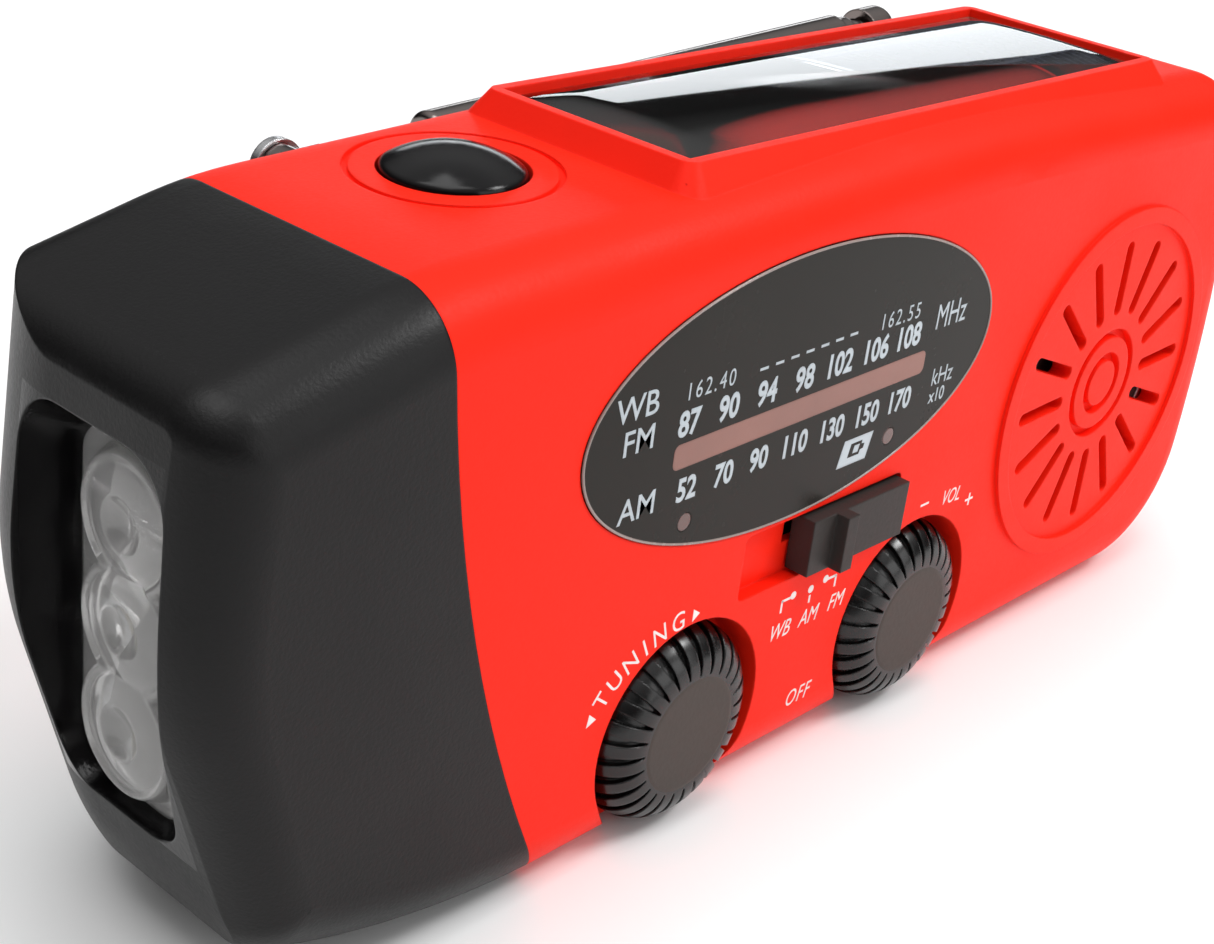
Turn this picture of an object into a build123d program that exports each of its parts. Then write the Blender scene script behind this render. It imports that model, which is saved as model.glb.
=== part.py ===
from build123d import *
from math import acos, cos, pi, radians, sin, tan
import os

# Emergency radio: hand crank, solar panel, pocket radio and torch in one case.
# Millimetres. X runs to the right, Y to the rear, Z up.
# The origin is on the table, under the middle of the radio.

# ---------------------------------------------------------------- driving dimensions
CASE_DEPTH = 29.6
FRONT_Y = -CASE_DEPTH / 2
REAR_Y = CASE_DEPTH / 2
WALL = 2.0
INNER_FRONT_Y = FRONT_Y + WALL
INNER_REAR_Y = REAR_Y - WALL
SPLIT_Y = 11.0
EDGE_ROUND = 5.0
FAR = 80.0

# front view of the whole case: corner positions (x, z) and the radius at each
CASE_CORNERS = [
    ((-42.0, 0.0), 75.0),
    ((61.6, 0.0), 13.0),
    ((63.5, 23.0), 100.0),
    ((59.8, 50.0), 9.0),
    ((12.0, 51.6), 400.0),
    ((-44.0, 49.4), 40.0),
    ((-61.4, 45.2), 3.5),
    ((-63.1, 27.0), 30.0),
    ((-57.2, 5.5), 5.0),
]

# larger rounding of the head's rear left side: its outline and the radius at each corner
HEAD_CORNERS = [
    ((-55.9, 100.0), 0.0),
    ((-63.1, 27.0), 30.0),
    ((-56.2, 3.6), 21.0),
    ((3.8, -46.8), 0.0),
    ((100.0, -46.8), 0.0),
    ((100.0, 100.0), 0.0),
]
HEAD_ROUND = 13.6
HEAD_REAR_Y = 14.9

# curved seam between the black head and the red case, seen from the front
SEAM = [(-44.7, 56.0), (-41.2, 28.0), (-27.2, -6.0)]

DIAL_X, DIAL_Z = -7.5, 34.8
DIAL_RX, DIAL_RZ = 24.4, 11.1
TUNING_X, KNOB_Z = -17.2, 8.6
VOLUME_X = 11.8
KNOB_R = 8.3
KNOB_ROUND = 3.2
KNOB_FRONT_Y = -16.0
KNOB_RECESS_R = 9.2
KNOB_FLOOR_Y = -11.2
KNOB_PAD_Y = -9.6
SHAFT_R = 2.0
RUN_GAP = 0.06

SPEAKER_X, SPEAKER_Z = 39.6, 23.6
GRILLE_R = 17.0

BAND_Z = 20.6

BUTTON_X, BUTTON_Y, BUTTON_TOP_Z = -29.2, 2.0, 49.95
BUTTON_R = 5.2
BUTTON_CROWN_Z, BUTTON_DOME_R = 51.7, 9.2
BUTTON_RING_R = 7.7
TOP_SLOPE = 2.25

PANEL_X, PANEL_LENGTH, PANEL_WIDTH = 13.2, 62.0, 18.4
PANEL_TOP_Z = 52.2

LAMP_Y, LAMP_Z = -1.8, 25.5
LAMP_SPACING = 7.5

HUB_X, HUB_Z = 21.0, 24.5
DISH_R = 20.5
DISH_Y = 10.4
GRIP_REACH = 17.2
GRIP_Y = 14.5

GEAR_MODULE = 0.6
PRESSURE = radians(25)
DRIVE_TEETH, IDLER_PINION_TEETH, IDLER_WHEEL_TEETH, DYNAMO_TEETH = 40, 10, 32, 9
IDLER_X = HUB_X + GEAR_MODULE * (DRIVE_TEETH + IDLER_PINION_TEETH) / 2
DYNAMO_X = IDLER_X + GEAR_MODULE * (IDLER_WHEEL_TEETH + DYNAMO_TEETH) / 2
TUNING_TEETH = 18
RACK_Z = KNOB_Z + GEAR_MODULE * TUNING_TEETH / 2
POINTER_TRAVEL = 26.0
POINTER_X = -21.0

ANTENNA_X, ANTENNA_Y, ANTENNA_Z = -31.5, 16.4, 45.7
ANTENNA_TILT = 2.7
ANTENNA_LENGTH = 68.3
NECK_LENGTH = 13.0

BOARD_Y = -4.9
BOARD_THICK = 1.6

SCREW_POINTS = [(-28.5, 5.8), (-37.0, 38.5), (52.0, 6.6), (53.0, 41.5)]
BOARD_POSTS = [(-38.0, 24.5), (18.3, 44.0), (19.5, 20.0)]

PORT_X0, PORT_X1, PORT_Z0, PORT_Z1 = -39.6, -13.0, 25.0, 35.0

os.makedirs("parts", exist_ok=True)


# ---------------------------------------------------------------- helpers
def upright(y):
    """Plane of the front view at depth y; extruding it runs towards the front."""
    return Plane.XZ.offset(-y)


def across(x):
    """Plane of the side view at x; its own x is Y and its own y is Z."""
    return Plane.YZ.offset(x)


def disc(x, z, radius, y_front, y_rear, mode=Mode.ADD):
    """Round boss or hole along Y, added to the part being built."""
    with BuildSketch(upright(y_rear)) as round_face:
        with Locations((x, z)):
            Circle(radius)
    extrude(round_face.sketch, amount=y_rear - y_front, mode=mode)


def slab(x0, x1, y0, y1, z0, z1, mode=Mode.ADD):
    """Rectangular block between two corners, added to the part being built."""
    with Locations(((x0 + x1) / 2, (y0 + y1) / 2, (z0 + z1) / 2)):
        Box(x1 - x0, y1 - y0, z1 - z0, mode=mode)


def outline_prism(corners, inset, y_front, y_rear):
    """Front view outline with rounded corners, extruded from y_rear to y_front."""
    with BuildPart() as prism:
        with BuildSketch(upright(y_rear)):
            with BuildLine():
                Polyline(*[corner for corner, radius in corners], close=True)
            make_face()
            for corner, radius in corners:
                if radius:
                    fillet(vertices().sort_by_distance(corner)[0], radius)
            if inset:
                offset(amount=-inset)
        extrude(amount=y_rear - y_front)
    return prism.part


def case_solid(inset):
    """Rounded body of the whole radio, drawn smaller by inset on every side."""
    rear_y = HEAD_REAR_Y - inset
    with BuildPart() as head:
        add(outline_prism(HEAD_CORNERS, inset, -FAR, rear_y))
        rim = [edge for edge in head.edges() if abs(edge.center().Y - rear_y) < 0.01]
        fillet([edge for edge in rim if edge.center().X < -5], HEAD_ROUND - inset)
    with BuildPart() as solid:
        add(outline_prism(CASE_CORNERS, inset, FRONT_Y + inset, REAR_Y - inset))
        for y in (FRONT_Y + inset, REAR_Y - inset):
            rim = [edge for edge in solid.edges() if abs(edge.center().Y - y) < 0.01]
            fillet(rim, EDGE_ROUND - inset)
        add(head.part, mode=Mode.INTERSECT)
    return solid.part


def involute(angle):
    return tan(angle) - angle


def gear_outline(teeth, turn=0.0, play=0.05):
    """Spur gear outline about the sketch's origin, with involute flanks."""
    pitch_r = GEAR_MODULE * teeth / 2
    base_r = pitch_r * cos(PRESSURE)
    tip_r = pitch_r + 0.85 * GEAR_MODULE
    root_r = pitch_r - 1.15 * GEAR_MODULE
    half = pi / (2 * teeth) - play / pitch_r + involute(PRESSURE)
    low_r = max(base_r, root_r)
    flank = [(root_r - 0.2, half)]
    for step in range(5):
        radius = low_r + (tip_r - low_r) * step / 4
        flank.append((radius, half - involute(acos(base_r / radius))))
    tooth = [(r * cos(a), r * sin(a)) for r, a in flank]
    tooth += [(x, -y) for x, y in reversed(tooth)]
    Circle(root_r)
    with PolarLocations(0, teeth, start_angle=turn):
        Polygon(*tooth, align=None)


# ---------------------------------------------------------------- construction bodies
case_outer = case_solid(0)
case_inner = case_solid(WALL)

with BuildPart() as head_zone:
    with BuildSketch(upright(FAR / 2)):
        with BuildLine():
            seam = ThreePointArc(*SEAM)
            Polyline(seam @ 1, (-FAR, SEAM[2][1]), (-FAR, SEAM[0][1]), seam @ 0)
        make_face()
    extrude(amount=FAR)

# step along the rear top edge that the folded antenna lies in
ANTENNA_DIR = (cos(radians(ANTENNA_TILT)), 0, sin(radians(ANTENNA_TILT)))
antenna_start = Plane(origin=(ANTENNA_X, ANTENNA_Y, ANTENNA_Z), x_dir=(0, 1, 0), z_dir=ANTENNA_DIR)
STEP_DROP = 2.8
STEP_Y = 13.8


def antenna_step(drop, rear_y, front_y, start=-5.6, end=77.0, mode=Mode.SUBTRACT):
    """Wedge above a line parallel to the folded antenna, for cutting or keeping."""
    rise = tan(radians(ANTENNA_TILT))
    x0, x1 = ANTENNA_X + start, ANTENNA_X + end
    z0, z1 = ANTENNA_Z + start * rise - drop, ANTENNA_Z + end * rise - drop
    with BuildSketch(upright(rear_y)) as wedge:
        Polygon((x0, z0), (x1, z1), (x1, FAR), (x0, FAR), align=None)
    extrude(wedge.sketch, amount=rear_y - front_y, mode=mode)


# ---------------------------------------------------------------- case
with BuildPart() as front_shell:
    add(case_outer)
    add(case_inner, mode=Mode.SUBTRACT)
    # knob recess floors, speaker wall, screw bosses and board posts
    for knob_x in (TUNING_X, VOLUME_X):
        disc(knob_x, KNOB_Z, KNOB_RECESS_R + 1.6, INNER_FRONT_Y - 0.5, KNOB_PAD_Y)
    with BuildSketch(upright(-9.4)):
        with Locations((SPEAKER_X, SPEAKER_Z)):
            Circle(16.8)
            Circle(15.5, mode=Mode.SUBTRACT)
    extrude(amount=3.6)
    for x, z in SCREW_POINTS:
        disc(x, z, 2.6, INNER_FRONT_Y - 0.5, SPLIT_Y)
    for x, z in BOARD_POSTS:
        disc(x, z, 1.8, INNER_FRONT_Y - 0.5, BOARD_Y - BOARD_THICK)
    # thick ledge that carries the button board
    for y in (-11.0, 8.0):
        slab(BUTTON_X - 4.5, BUTTON_X + 4.5, y, y + 2.6, 42.6, 49.0)
    add(case_outer, mode=Mode.INTERSECT)
    # shallow ring round the light button
    button_plane = Plane(origin=(BUTTON_X, BUTTON_Y, BUTTON_TOP_Z), x_dir=(1, 0, tan(radians(TOP_SLOPE))),
                         z_dir=(-sin(radians(TOP_SLOPE)), 0, cos(radians(TOP_SLOPE))))
    with BuildSketch(button_plane.offset(-0.3)):
        Circle(BUTTON_RING_R)
        Circle(BUTTON_RING_R - 0.45, mode=Mode.SUBTRACT)
    extrude(amount=3, mode=Mode.SUBTRACT)
    # raised frame round the solar panel
    with BuildSketch(Plane.XY.offset(PANEL_TOP_Z - 4.0)):
        with Locations((PANEL_X, 0)):
            RectangleRounded(PANEL_LENGTH + 7.4, PANEL_WIDTH + 7.4, 2.8)
    with BuildSketch(Plane.XY.offset(PANEL_TOP_Z)):
        with Locations((PANEL_X, 0)):
            RectangleRounded(PANEL_LENGTH + 1.8, PANEL_WIDTH + 1.8, 1.0)
    loft()
    slab(PANEL_X - 32.5, PANEL_X + 32.5, -10.4, 10.4, 48.8, PANEL_TOP_Z - 1.2)
    slab(PANEL_X - 31, PANEL_X + 31, -9.2, 9.2, PANEL_TOP_Z - 2.1, PANEL_TOP_Z + 1, mode=Mode.SUBTRACT)
    # slot for the solar panel's wires
    slab(PANEL_X - 28, PANEL_X - 24, -2, 2, 46.0, PANEL_TOP_Z, mode=Mode.SUBTRACT)
    # raised lip of the speaker grille
    with BuildSketch(upright(FRONT_Y + 0.2)):
        with Locations((SPEAKER_X, SPEAKER_Z)):
            Circle(GRILLE_R)
            Circle(GRILLE_R - 1.6, mode=Mode.SUBTRACT)
    extrude(amount=0.6)
    # dial window seat and opening
    with BuildSketch(upright(FRONT_Y + 1.3)):
        with Locations((DIAL_X, DIAL_Z)):
            Ellipse(DIAL_RX, DIAL_RZ)
    extrude(amount=3, mode=Mode.SUBTRACT)
    with BuildSketch(upright(INNER_FRONT_Y + 1)):
        with Locations((DIAL_X, DIAL_Z)):
            Ellipse(DIAL_RX - 1.2, DIAL_RZ - 1.2)
    extrude(amount=4, mode=Mode.SUBTRACT)
    # knob recesses, open through the bottom edge, and their shaft holes
    for knob_x in (TUNING_X, VOLUME_X):
        disc(knob_x, KNOB_Z, KNOB_RECESS_R, FRONT_Y - 1, KNOB_FLOOR_Y, mode=Mode.SUBTRACT)
        disc(knob_x, KNOB_Z, SHAFT_R + RUN_GAP, FRONT_Y - 1, KNOB_PAD_Y + 1, mode=Mode.SUBTRACT)
    # band switch pocket and slot
    with BuildSketch(upright(FRONT_Y + 1.3)):
        with Locations((-2.1, BAND_Z)):
            RectangleRounded(20.0, 5.6, 0.6)
    extrude(amount=3, mode=Mode.SUBTRACT)
    slab(-5.7, 5.5, FRONT_Y, INNER_FRONT_Y + 1, BAND_Z - 0.1, BAND_Z + 1.9, mode=Mode.SUBTRACT)
    # light button hole
    with BuildSketch(Plane.XY.offset(40)):
        with Locations((BUTTON_X, BUTTON_Y)):
            Circle(BUTTON_R + 0.2)
    extrude(amount=20, mode=Mode.SUBTRACT)
    # speaker grille slots
    with BuildSketch(upright(INNER_FRONT_Y + 1)):
        with Locations((SPEAKER_X, SPEAKER_Z)):
            with PolarLocations(10.35, 16, start_angle=159 - 22.5 * 15):
                SlotOverall(7.1, 1.2)
    extrude(amount=6, mode=Mode.SUBTRACT)
    with BuildSketch(upright(FRONT_Y + 0.8)):
        with Locations((SPEAKER_X, SPEAKER_Z)):
            Circle(5.3)
            Circle(4.5, mode=Mode.SUBTRACT)
            Circle(3.0)
            Circle(2.2, mode=Mode.SUBTRACT)
    extrude(amount=3, mode=Mode.SUBTRACT)
    # the rear cover and the head take the rest
    for x, z in SCREW_POINTS:
        disc(x, z, 0.9, 2.0, SPLIT_Y + 1, mode=Mode.SUBTRACT)
    for x, z in BOARD_POSTS:
        disc(x, z, 0.8, BOARD_Y - 5.6, BOARD_Y, mode=Mode.SUBTRACT)
    slab(-FAR, FAR, SPLIT_Y, SPLIT_Y + 20, -5, FAR, mode=Mode.SUBTRACT)
    add(head_zone.part, mode=Mode.SUBTRACT)
front_shell.part.label = "front_shell"
export_step(front_shell.part, "parts/front_shell.step")

GEARBOX_POSTS = [(8.0, 36.0), (8.0, 13.0), (47.0, 36.0), (47.0, 13.0)]
PLATE_Y0, PLATE_Y1 = 1.4, 2.6

with BuildPart() as antenna_backing:
    add(case_outer)
    slab(-FAR, FAR, -FAR, SPLIT_Y, -5, FAR, mode=Mode.SUBTRACT)
    slab(-FAR, FAR, 13.4, FAR, -5, FAR, mode=Mode.SUBTRACT)
    with BuildSketch(upright(FAR)):
        Polygon((-38.5, 39.4), (-25.5, 39.4), (-25.5, 42.0), (47.0, 45.8), (47.0, FAR), (-38.5, FAR), align=None)
    extrude(amount=2 * FAR, mode=Mode.INTERSECT)

with BuildPart() as rear_shell:
    add(case_outer)
    add(case_inner, mode=Mode.SUBTRACT)
    slab(-FAR, FAR, -FAR, SPLIT_Y, -5, FAR, mode=Mode.SUBTRACT)
    add(antenna_backing.part)
    # bowl for the crank, wall behind the sockets, screw pads and gearbox posts
    disc(HUB_X, HUB_Z, DISH_R + 1.6, DISH_Y - 2.0, INNER_REAR_Y + 0.2)
    slab(PORT_X0 - 0.6, PORT_X1 + 1, SPLIT_Y, INNER_REAR_Y + 0.2, PORT_Z0 - 1, PORT_Z1 + 1)
    for x, z in SCREW_POINTS:
        disc(x, z, 3.2, SPLIT_Y, INNER_REAR_Y + 0.2)
    for x, z in GEARBOX_POSTS:
        disc(x, z, 1.8, PLATE_Y1, INNER_REAR_Y if x > HUB_X + DISH_R else DISH_Y - 1.0)
    disc(HUB_X, HUB_Z, DISH_R, DISH_Y, REAR_Y + 1, mode=Mode.SUBTRACT)
    disc(HUB_X, HUB_Z, 3.0, 0, REAR_Y, mode=Mode.SUBTRACT)
    disc(IDLER_X, HUB_Z, 1.0, 0, DISH_Y - 0.6, mode=Mode.SUBTRACT)
    # socket pocket, its two openings and the flap's hinge holes
    slab(PORT_X0, PORT_X1 - 0.2, 13.2, REAR_Y + 1, PORT_Z0, PORT_Z1, mode=Mode.SUBTRACT)
    slab(-29.4, -15.8, 0, REAR_Y, 27.0, 33.0, mode=Mode.SUBTRACT)
    slab(-38.8, -30.8, 0, REAR_Y, 27.0, 30.1, mode=Mode.SUBTRACT)
    with BuildSketch(Plane.XY.offset(PORT_Z0 - 0.5)):
        with Locations((-14.2, 14.05)):
            Circle(0.46)
    extrude(amount=PORT_Z1 - PORT_Z0 + 1.0, mode=Mode.SUBTRACT)
    # antenna step and the deeper pocket of its pivot
    antenna_step(STEP_DROP, REAR_Y + 2, STEP_Y)
    slab(-37.1, -26.6, STEP_Y, REAR_Y + 2, 40.6, FAR, mode=Mode.SUBTRACT)
    for x, z in SCREW_POINTS:
        disc(x, z, 1.3, 0, REAR_Y, mode=Mode.SUBTRACT)
        disc(x, z, 2.8, 12.7, REAR_Y + 1, mode=Mode.SUBTRACT)
    for x, z in GEARBOX_POSTS:
        disc(x, z, 0.8, 0, 7.4, mode=Mode.SUBTRACT)
    add(head_zone.part, mode=Mode.SUBTRACT)
rear_shell.part.label = "rear_shell"
export_step(rear_shell.part, "parts/rear_shell.step")

# band that reaches from the head into the case and holds the two together
with BuildPart() as spigot:
    add(case_solid(WALL + 0.1))
    add(case_solid(WALL + 1.3), mode=Mode.SUBTRACT)
    add(head_zone.part.moved(Location((3.0, 0, 0))), mode=Mode.INTERSECT)
    add(head_zone.part, mode=Mode.SUBTRACT)
    slab(-FAR, FAR, 9.6, FAR, -5, FAR, mode=Mode.SUBTRACT)
    for x, z in SCREW_POINTS + BOARD_POSTS[:1]:
        disc(x, z, 3.0, -FAR, FAR, mode=Mode.SUBTRACT)

with BuildPart() as spigot_root:
    add(case_solid(WALL - 0.2))
    add(case_solid(WALL + 1.3), mode=Mode.SUBTRACT)
    add(head_zone.part, mode=Mode.INTERSECT)
    add(head_zone.part.moved(Location((-2.5, 0, 0))), mode=Mode.SUBTRACT)

SEAT_HALF_Y, SEAT_HALF_Z = 7.0, 13.4
LENS_X = -57.4
LAMP_BOARD_X = -50.2

with BuildPart() as head_shroud:
    add(case_outer)
    add(case_inner, mode=Mode.SUBTRACT)
    slab(-63.0, LAMP_BOARD_X, -12.0, 6.8, 10.4, 42.6)
    add(case_outer, mode=Mode.INTERSECT)
    # tapered mouth and the seat of the lens and reflector
    with BuildSketch(across(-65.0)):
        with Locations((-3.9, 26.4)):
            RectangleRounded(17.4, 34.0, 5.0)
    with BuildSketch(across(LENS_X)):
        with Locations((LAMP_Y, LAMP_Z)):
            RectangleRounded(11.8, 25.4, 3.0)
    loft(mode=Mode.SUBTRACT)
    slab(LENS_X, -40.0, LAMP_Y - SEAT_HALF_Y, LAMP_Y + SEAT_HALF_Y, LAMP_Z - SEAT_HALF_Z, LAMP_Z + SEAT_HALF_Z,
         mode=Mode.SUBTRACT)
    add(head_zone.part, mode=Mode.INTERSECT)
    add(spigot_root.part)
    add(spigot.part)
head_shroud.part.label = "head_shroud"
export_step(head_shroud.part, "parts/head_shroud.step")

# ---------------------------------------------------------------- torch
LAMP_SPOTS = [(LAMP_Y, LAMP_Z + LAMP_SPACING * step) for step in (-1, 0, 1)]

with BuildPart() as lamp_lens:
    slab(LENS_X + 0.05, LENS_X + 1.4, LAMP_Y - SEAT_HALF_Y + 0.1, LAMP_Y + SEAT_HALF_Y - 0.1,
         LAMP_Z - SEAT_HALF_Z + 0.1, LAMP_Z + SEAT_HALF_Z - 0.1)
    with BuildSketch(across(LENS_X + 0.5)):
        with Locations(*LAMP_SPOTS):
            Circle(4.3)
    extrude(amount=-2.3)
    fillet(lamp_lens.edges().group_by(Axis.X)[0], 0.9)
lamp_lens.part.label = "lamp_lens"
export_step(lamp_lens.part, "parts/lamp_lens.step")

with BuildPart() as lamp_reflector:
    slab(LENS_X + 1.4, LAMP_BOARD_X, LAMP_Y - SEAT_HALF_Y + 0.1, LAMP_Y + SEAT_HALF_Y - 0.1,
         LAMP_Z - SEAT_HALF_Z + 0.1, LAMP_Z + SEAT_HALF_Z - 0.1)
    for spot in LAMP_SPOTS:
        with BuildSketch(across(LENS_X + 1.4)):
            with Locations(spot):
                Circle(3.55)
        with BuildSketch(across(LAMP_BOARD_X)):
            with Locations(spot):
                Circle(2.7)
        loft(mode=Mode.SUBTRACT)
lamp_reflector.part.label = "lamp_reflector"
export_step(lamp_reflector.part, "parts/lamp_reflector.step")

with BuildPart() as lamp_leds:
    with BuildSketch(across(LAMP_BOARD_X)):
        with Locations(*LAMP_SPOTS):
            Circle(2.3)
    extrude(amount=-0.9)
    with BuildSketch(across(LAMP_BOARD_X - 0.9)):
        with Locations(*LAMP_SPOTS):
            Circle(1.6)
    extrude(amount=-1.6)
    fillet(lamp_leds.edges().group_by(Axis.X)[0], 1.2)
lamp_leds.part.label = "lamp_leds"
export_step(lamp_leds.part, "parts/lamp_leds.step")

with BuildPart() as lamp_board:
    slab(LAMP_BOARD_X, LAMP_BOARD_X + 1.4, LAMP_Y - 8.0, LAMP_Y + 8.0, LAMP_Z - 14.4, LAMP_Z + 14.4)
lamp_board.part.label = "lamp_board"
export_step(lamp_board.part, "parts/lamp_board.step")

# ---------------------------------------------------------------- light button
BUTTON_BOARD_Z = 41.4

with BuildPart() as light_button:
    for base_z, height, radius in ((46.2, 1.0, 1.5), (46.4, 0.9, BUTTON_R + 0.65), (47.0, 6.0, BUTTON_R)):
        with BuildSketch(Plane.XY.offset(base_z)):
            with Locations((BUTTON_X, BUTTON_Y)):
                Circle(radius)
        extrude(amount=height)
    with Locations((BUTTON_X, BUTTON_Y, BUTTON_CROWN_Z - BUTTON_DOME_R)):
        Sphere(BUTTON_DOME_R, mode=Mode.INTERSECT)
    crown = light_button.edges().filter_by(GeomType.CIRCLE).filter_by(lambda e: abs(e.radius - BUTTON_R) < 0.01)
    fillet(crown.sort_by(Axis.Z)[-1], 0.6)
light_button.part.label = "light_button"
export_step(light_button.part, "parts/light_button.step")

with BuildPart() as button_switch:
    slab(BUTTON_X - 3, BUTTON_X + 3, BUTTON_Y - 3, BUTTON_Y + 3, BUTTON_BOARD_Z + 1.2, BUTTON_BOARD_Z + 3.4)
    with BuildSketch(Plane.XY.offset(BUTTON_BOARD_Z + 3.4)):
        with Locations((BUTTON_X, BUTTON_Y)):
            Circle(1.7)
    extrude(amount=0.3)
button_switch.part.label = "button_switch"
export_step(button_switch.part, "parts/button_switch.step")

with BuildPart() as button_board:
    slab(BUTTON_X - 6.0, BUTTON_X + 6.0, -10.8, 10.4, BUTTON_BOARD_Z, BUTTON_BOARD_Z + 1.2)
button_board.part.label = "button_board"
export_step(button_board.part, "parts/button_board.step")

# ---------------------------------------------------------------- solar panel
PANEL_FLOOR_Z = PANEL_TOP_Z - 2.1
CELL_Z = PANEL_FLOOR_Z + 0.9

with BuildPart() as solar_board:
    slab(PANEL_X - 30.8, PANEL_X + 30.8, -9.0, 9.0, PANEL_FLOOR_Z, CELL_Z)
solar_board.part.label = "solar_board"
export_step(solar_board.part, "parts/solar_board.step")

with BuildPart() as solar_cells:
    slab(PANEL_X - 28.6, PANEL_X + 30.0, -8.4, 8.4, CELL_Z, CELL_Z + 0.25)
solar_cells.part.label = "solar_cells"
export_step(solar_cells.part, "parts/solar_cells.step")

with BuildPart() as solar_cover:
    slab(PANEL_X - 30.8, PANEL_X + 30.8, -9.0, 9.0, CELL_Z, PANEL_TOP_Z - 0.1)
    add(solar_cells.part, mode=Mode.SUBTRACT)
    fillet(solar_cover.edges().group_by(Axis.Z)[-1], 0.4)
solar_cover.part.label = "solar_cover"
export_step(solar_cover.part, "parts/solar_cover.step")

# ---------------------------------------------------------------- dial
INDICATOR_SPOTS = [(4.6, 27.5), (-20.2, 27.3)]

with BuildPart() as dial_window:
    with BuildSketch(upright(FRONT_Y + 1.3)):
        with Locations((DIAL_X, DIAL_Z)):
            Ellipse(DIAL_RX - 0.12, DIAL_RZ - 0.12)
        with Locations(*INDICATOR_SPOTS):
            Circle(0.75, mode=Mode.SUBTRACT)
    extrude(amount=1.4)
dial_window.part.label = "dial_window"
export_step(dial_window.part, "parts/dial_window.step")

with BuildPart() as indicator_lights:
    for x, z in INDICATOR_SPOTS:
        disc(x, z, 0.7, FRONT_Y - 0.1, INNER_FRONT_Y + 0.4)
indicator_lights.part.label = "indicator_lights"
export_step(indicator_lights.part, "parts/indicator_lights.step")

RACK_Y0, RACK_Y1 = -9.2, -7.7
ARM_X0, ARM_X1 = -35.0, -33.0
RACK_PITCH = pi * GEAR_MODULE
RACK_COUNT = 15

with BuildPart() as dial_pointer:
    slab(TUNING_X - POINTER_TRAVEL - 3.4, TUNING_X + 2.2, RACK_Y0, RACK_Y1, RACK_Z + 0.7, RACK_Z + 2.6)
    with BuildSketch(upright(RACK_Y1)):
        for step in range(-RACK_COUNT, 2):
            centre = TUNING_X + step * RACK_PITCH
            lean = tan(PRESSURE) * GEAR_MODULE
            half = RACK_PITCH / 4 - 0.05
            Polygon((centre - half - 1.25 * lean, RACK_Z + 1.25 * GEAR_MODULE),
                    (centre - half + 0.85 * lean, RACK_Z - 0.85 * GEAR_MODULE),
                    (centre + half - 0.85 * lean, RACK_Z - 0.85 * GEAR_MODULE),
                    (centre + half + 1.25 * lean, RACK_Z + 1.25 * GEAR_MODULE), align=None)
    extrude(amount=RACK_Y1 - RACK_Y0)
    slab(ARM_X0, ARM_X1, RACK_Y0, RACK_Y1, RACK_Z + 2.0, 35.2)
    slab(ARM_X0, POINTER_X + 0.5, RACK_Y0, RACK_Y1, 33.2, 35.2)
    slab(POINTER_X - 0.5, POINTER_X + 0.5, INNER_FRONT_Y + 0.2, RACK_Y1, 29.6, 37.6)
dial_pointer.part.label = "dial_pointer"
export_step(dial_pointer.part, "parts/dial_pointer.step")

# ---------------------------------------------------------------- knobs and what they turn
KNOB_RIBS = 27
KNOB_REAR_Y = KNOB_FLOOR_Y - 0.3


def knob(x):
    """Ribbed knob with a flat face and a blind bore for its shaft."""
    round_r, round_y = KNOB_R - KNOB_ROUND, KNOB_FRONT_Y + KNOB_ROUND
    with BuildPart() as ribs:
        with BuildSketch(Plane(origin=(x, 0, KNOB_Z), x_dir=(1, 0, 0), z_dir=(0, 0, 1))) as outer:
            with BuildLine():
                Polyline((round_r, KNOB_FRONT_Y), (0, KNOB_FRONT_Y), (0, KNOB_REAR_Y), (KNOB_R, KNOB_REAR_Y),
                         (KNOB_R, round_y))
                CenterArc((round_r, round_y), KNOB_ROUND, -90, 90)
            make_face()
        revolve(axis=Axis((x, 0, KNOB_Z), (0, 1, 0)))
        with BuildSketch(upright(0)):
            with Locations((x, KNOB_Z)):
                with PolarLocations(KNOB_R - 1.6, KNOB_RIBS):
                    Rectangle(4.4, 1.0)
        extrude(amount=FAR, mode=Mode.INTERSECT)
    with BuildPart() as body:
        with BuildSketch(Plane(origin=(x, 0, KNOB_Z), x_dir=(1, 0, 0), z_dir=(0, 0, 1))) as inner:
            with BuildLine():
                Polyline((round_r, KNOB_FRONT_Y + 0.5), (round_r, KNOB_FRONT_Y), (0, KNOB_FRONT_Y), (0, KNOB_REAR_Y),
                         (KNOB_R - 0.5, KNOB_REAR_Y), (KNOB_R - 0.5, round_y))
                CenterArc((round_r, round_y), KNOB_ROUND - 0.5, -90, 90)
            make_face()
        revolve(axis=Axis((x, 0, KNOB_Z), (0, 1, 0)))
        add(ribs.part)
        disc(x, KNOB_Z, SHAFT_R, KNOB_FRONT_Y + 1.6, 0, mode=Mode.SUBTRACT)
    return body.part


with BuildPart() as tuning_knob:
    add(knob(TUNING_X))
tuning_knob.part.label = "tuning_knob"
export_step(tuning_knob.part, "parts/tuning_knob.step")

with BuildPart() as volume_knob:
    add(knob(VOLUME_X))
volume_knob.part.label = "volume_knob"
export_step(volume_knob.part, "parts/volume_knob.step")

SHAFT_END_Y = -3.0

with BuildPart() as tuning_shaft:
    disc(TUNING_X, KNOB_Z, SHAFT_R, KNOB_FRONT_Y + 1.6, SHAFT_END_Y)
    with BuildSketch(Plane(origin=(TUNING_X, RACK_Y1, KNOB_Z), x_dir=(1, 0, 0), z_dir=(0, -1, 0))):
        gear_outline(TUNING_TEETH)
    extrude(amount=RACK_Y1 - RACK_Y0)
tuning_shaft.part.label = "tuning_shaft"
export_step(tuning_shaft.part, "parts/tuning_shaft.step")

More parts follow.
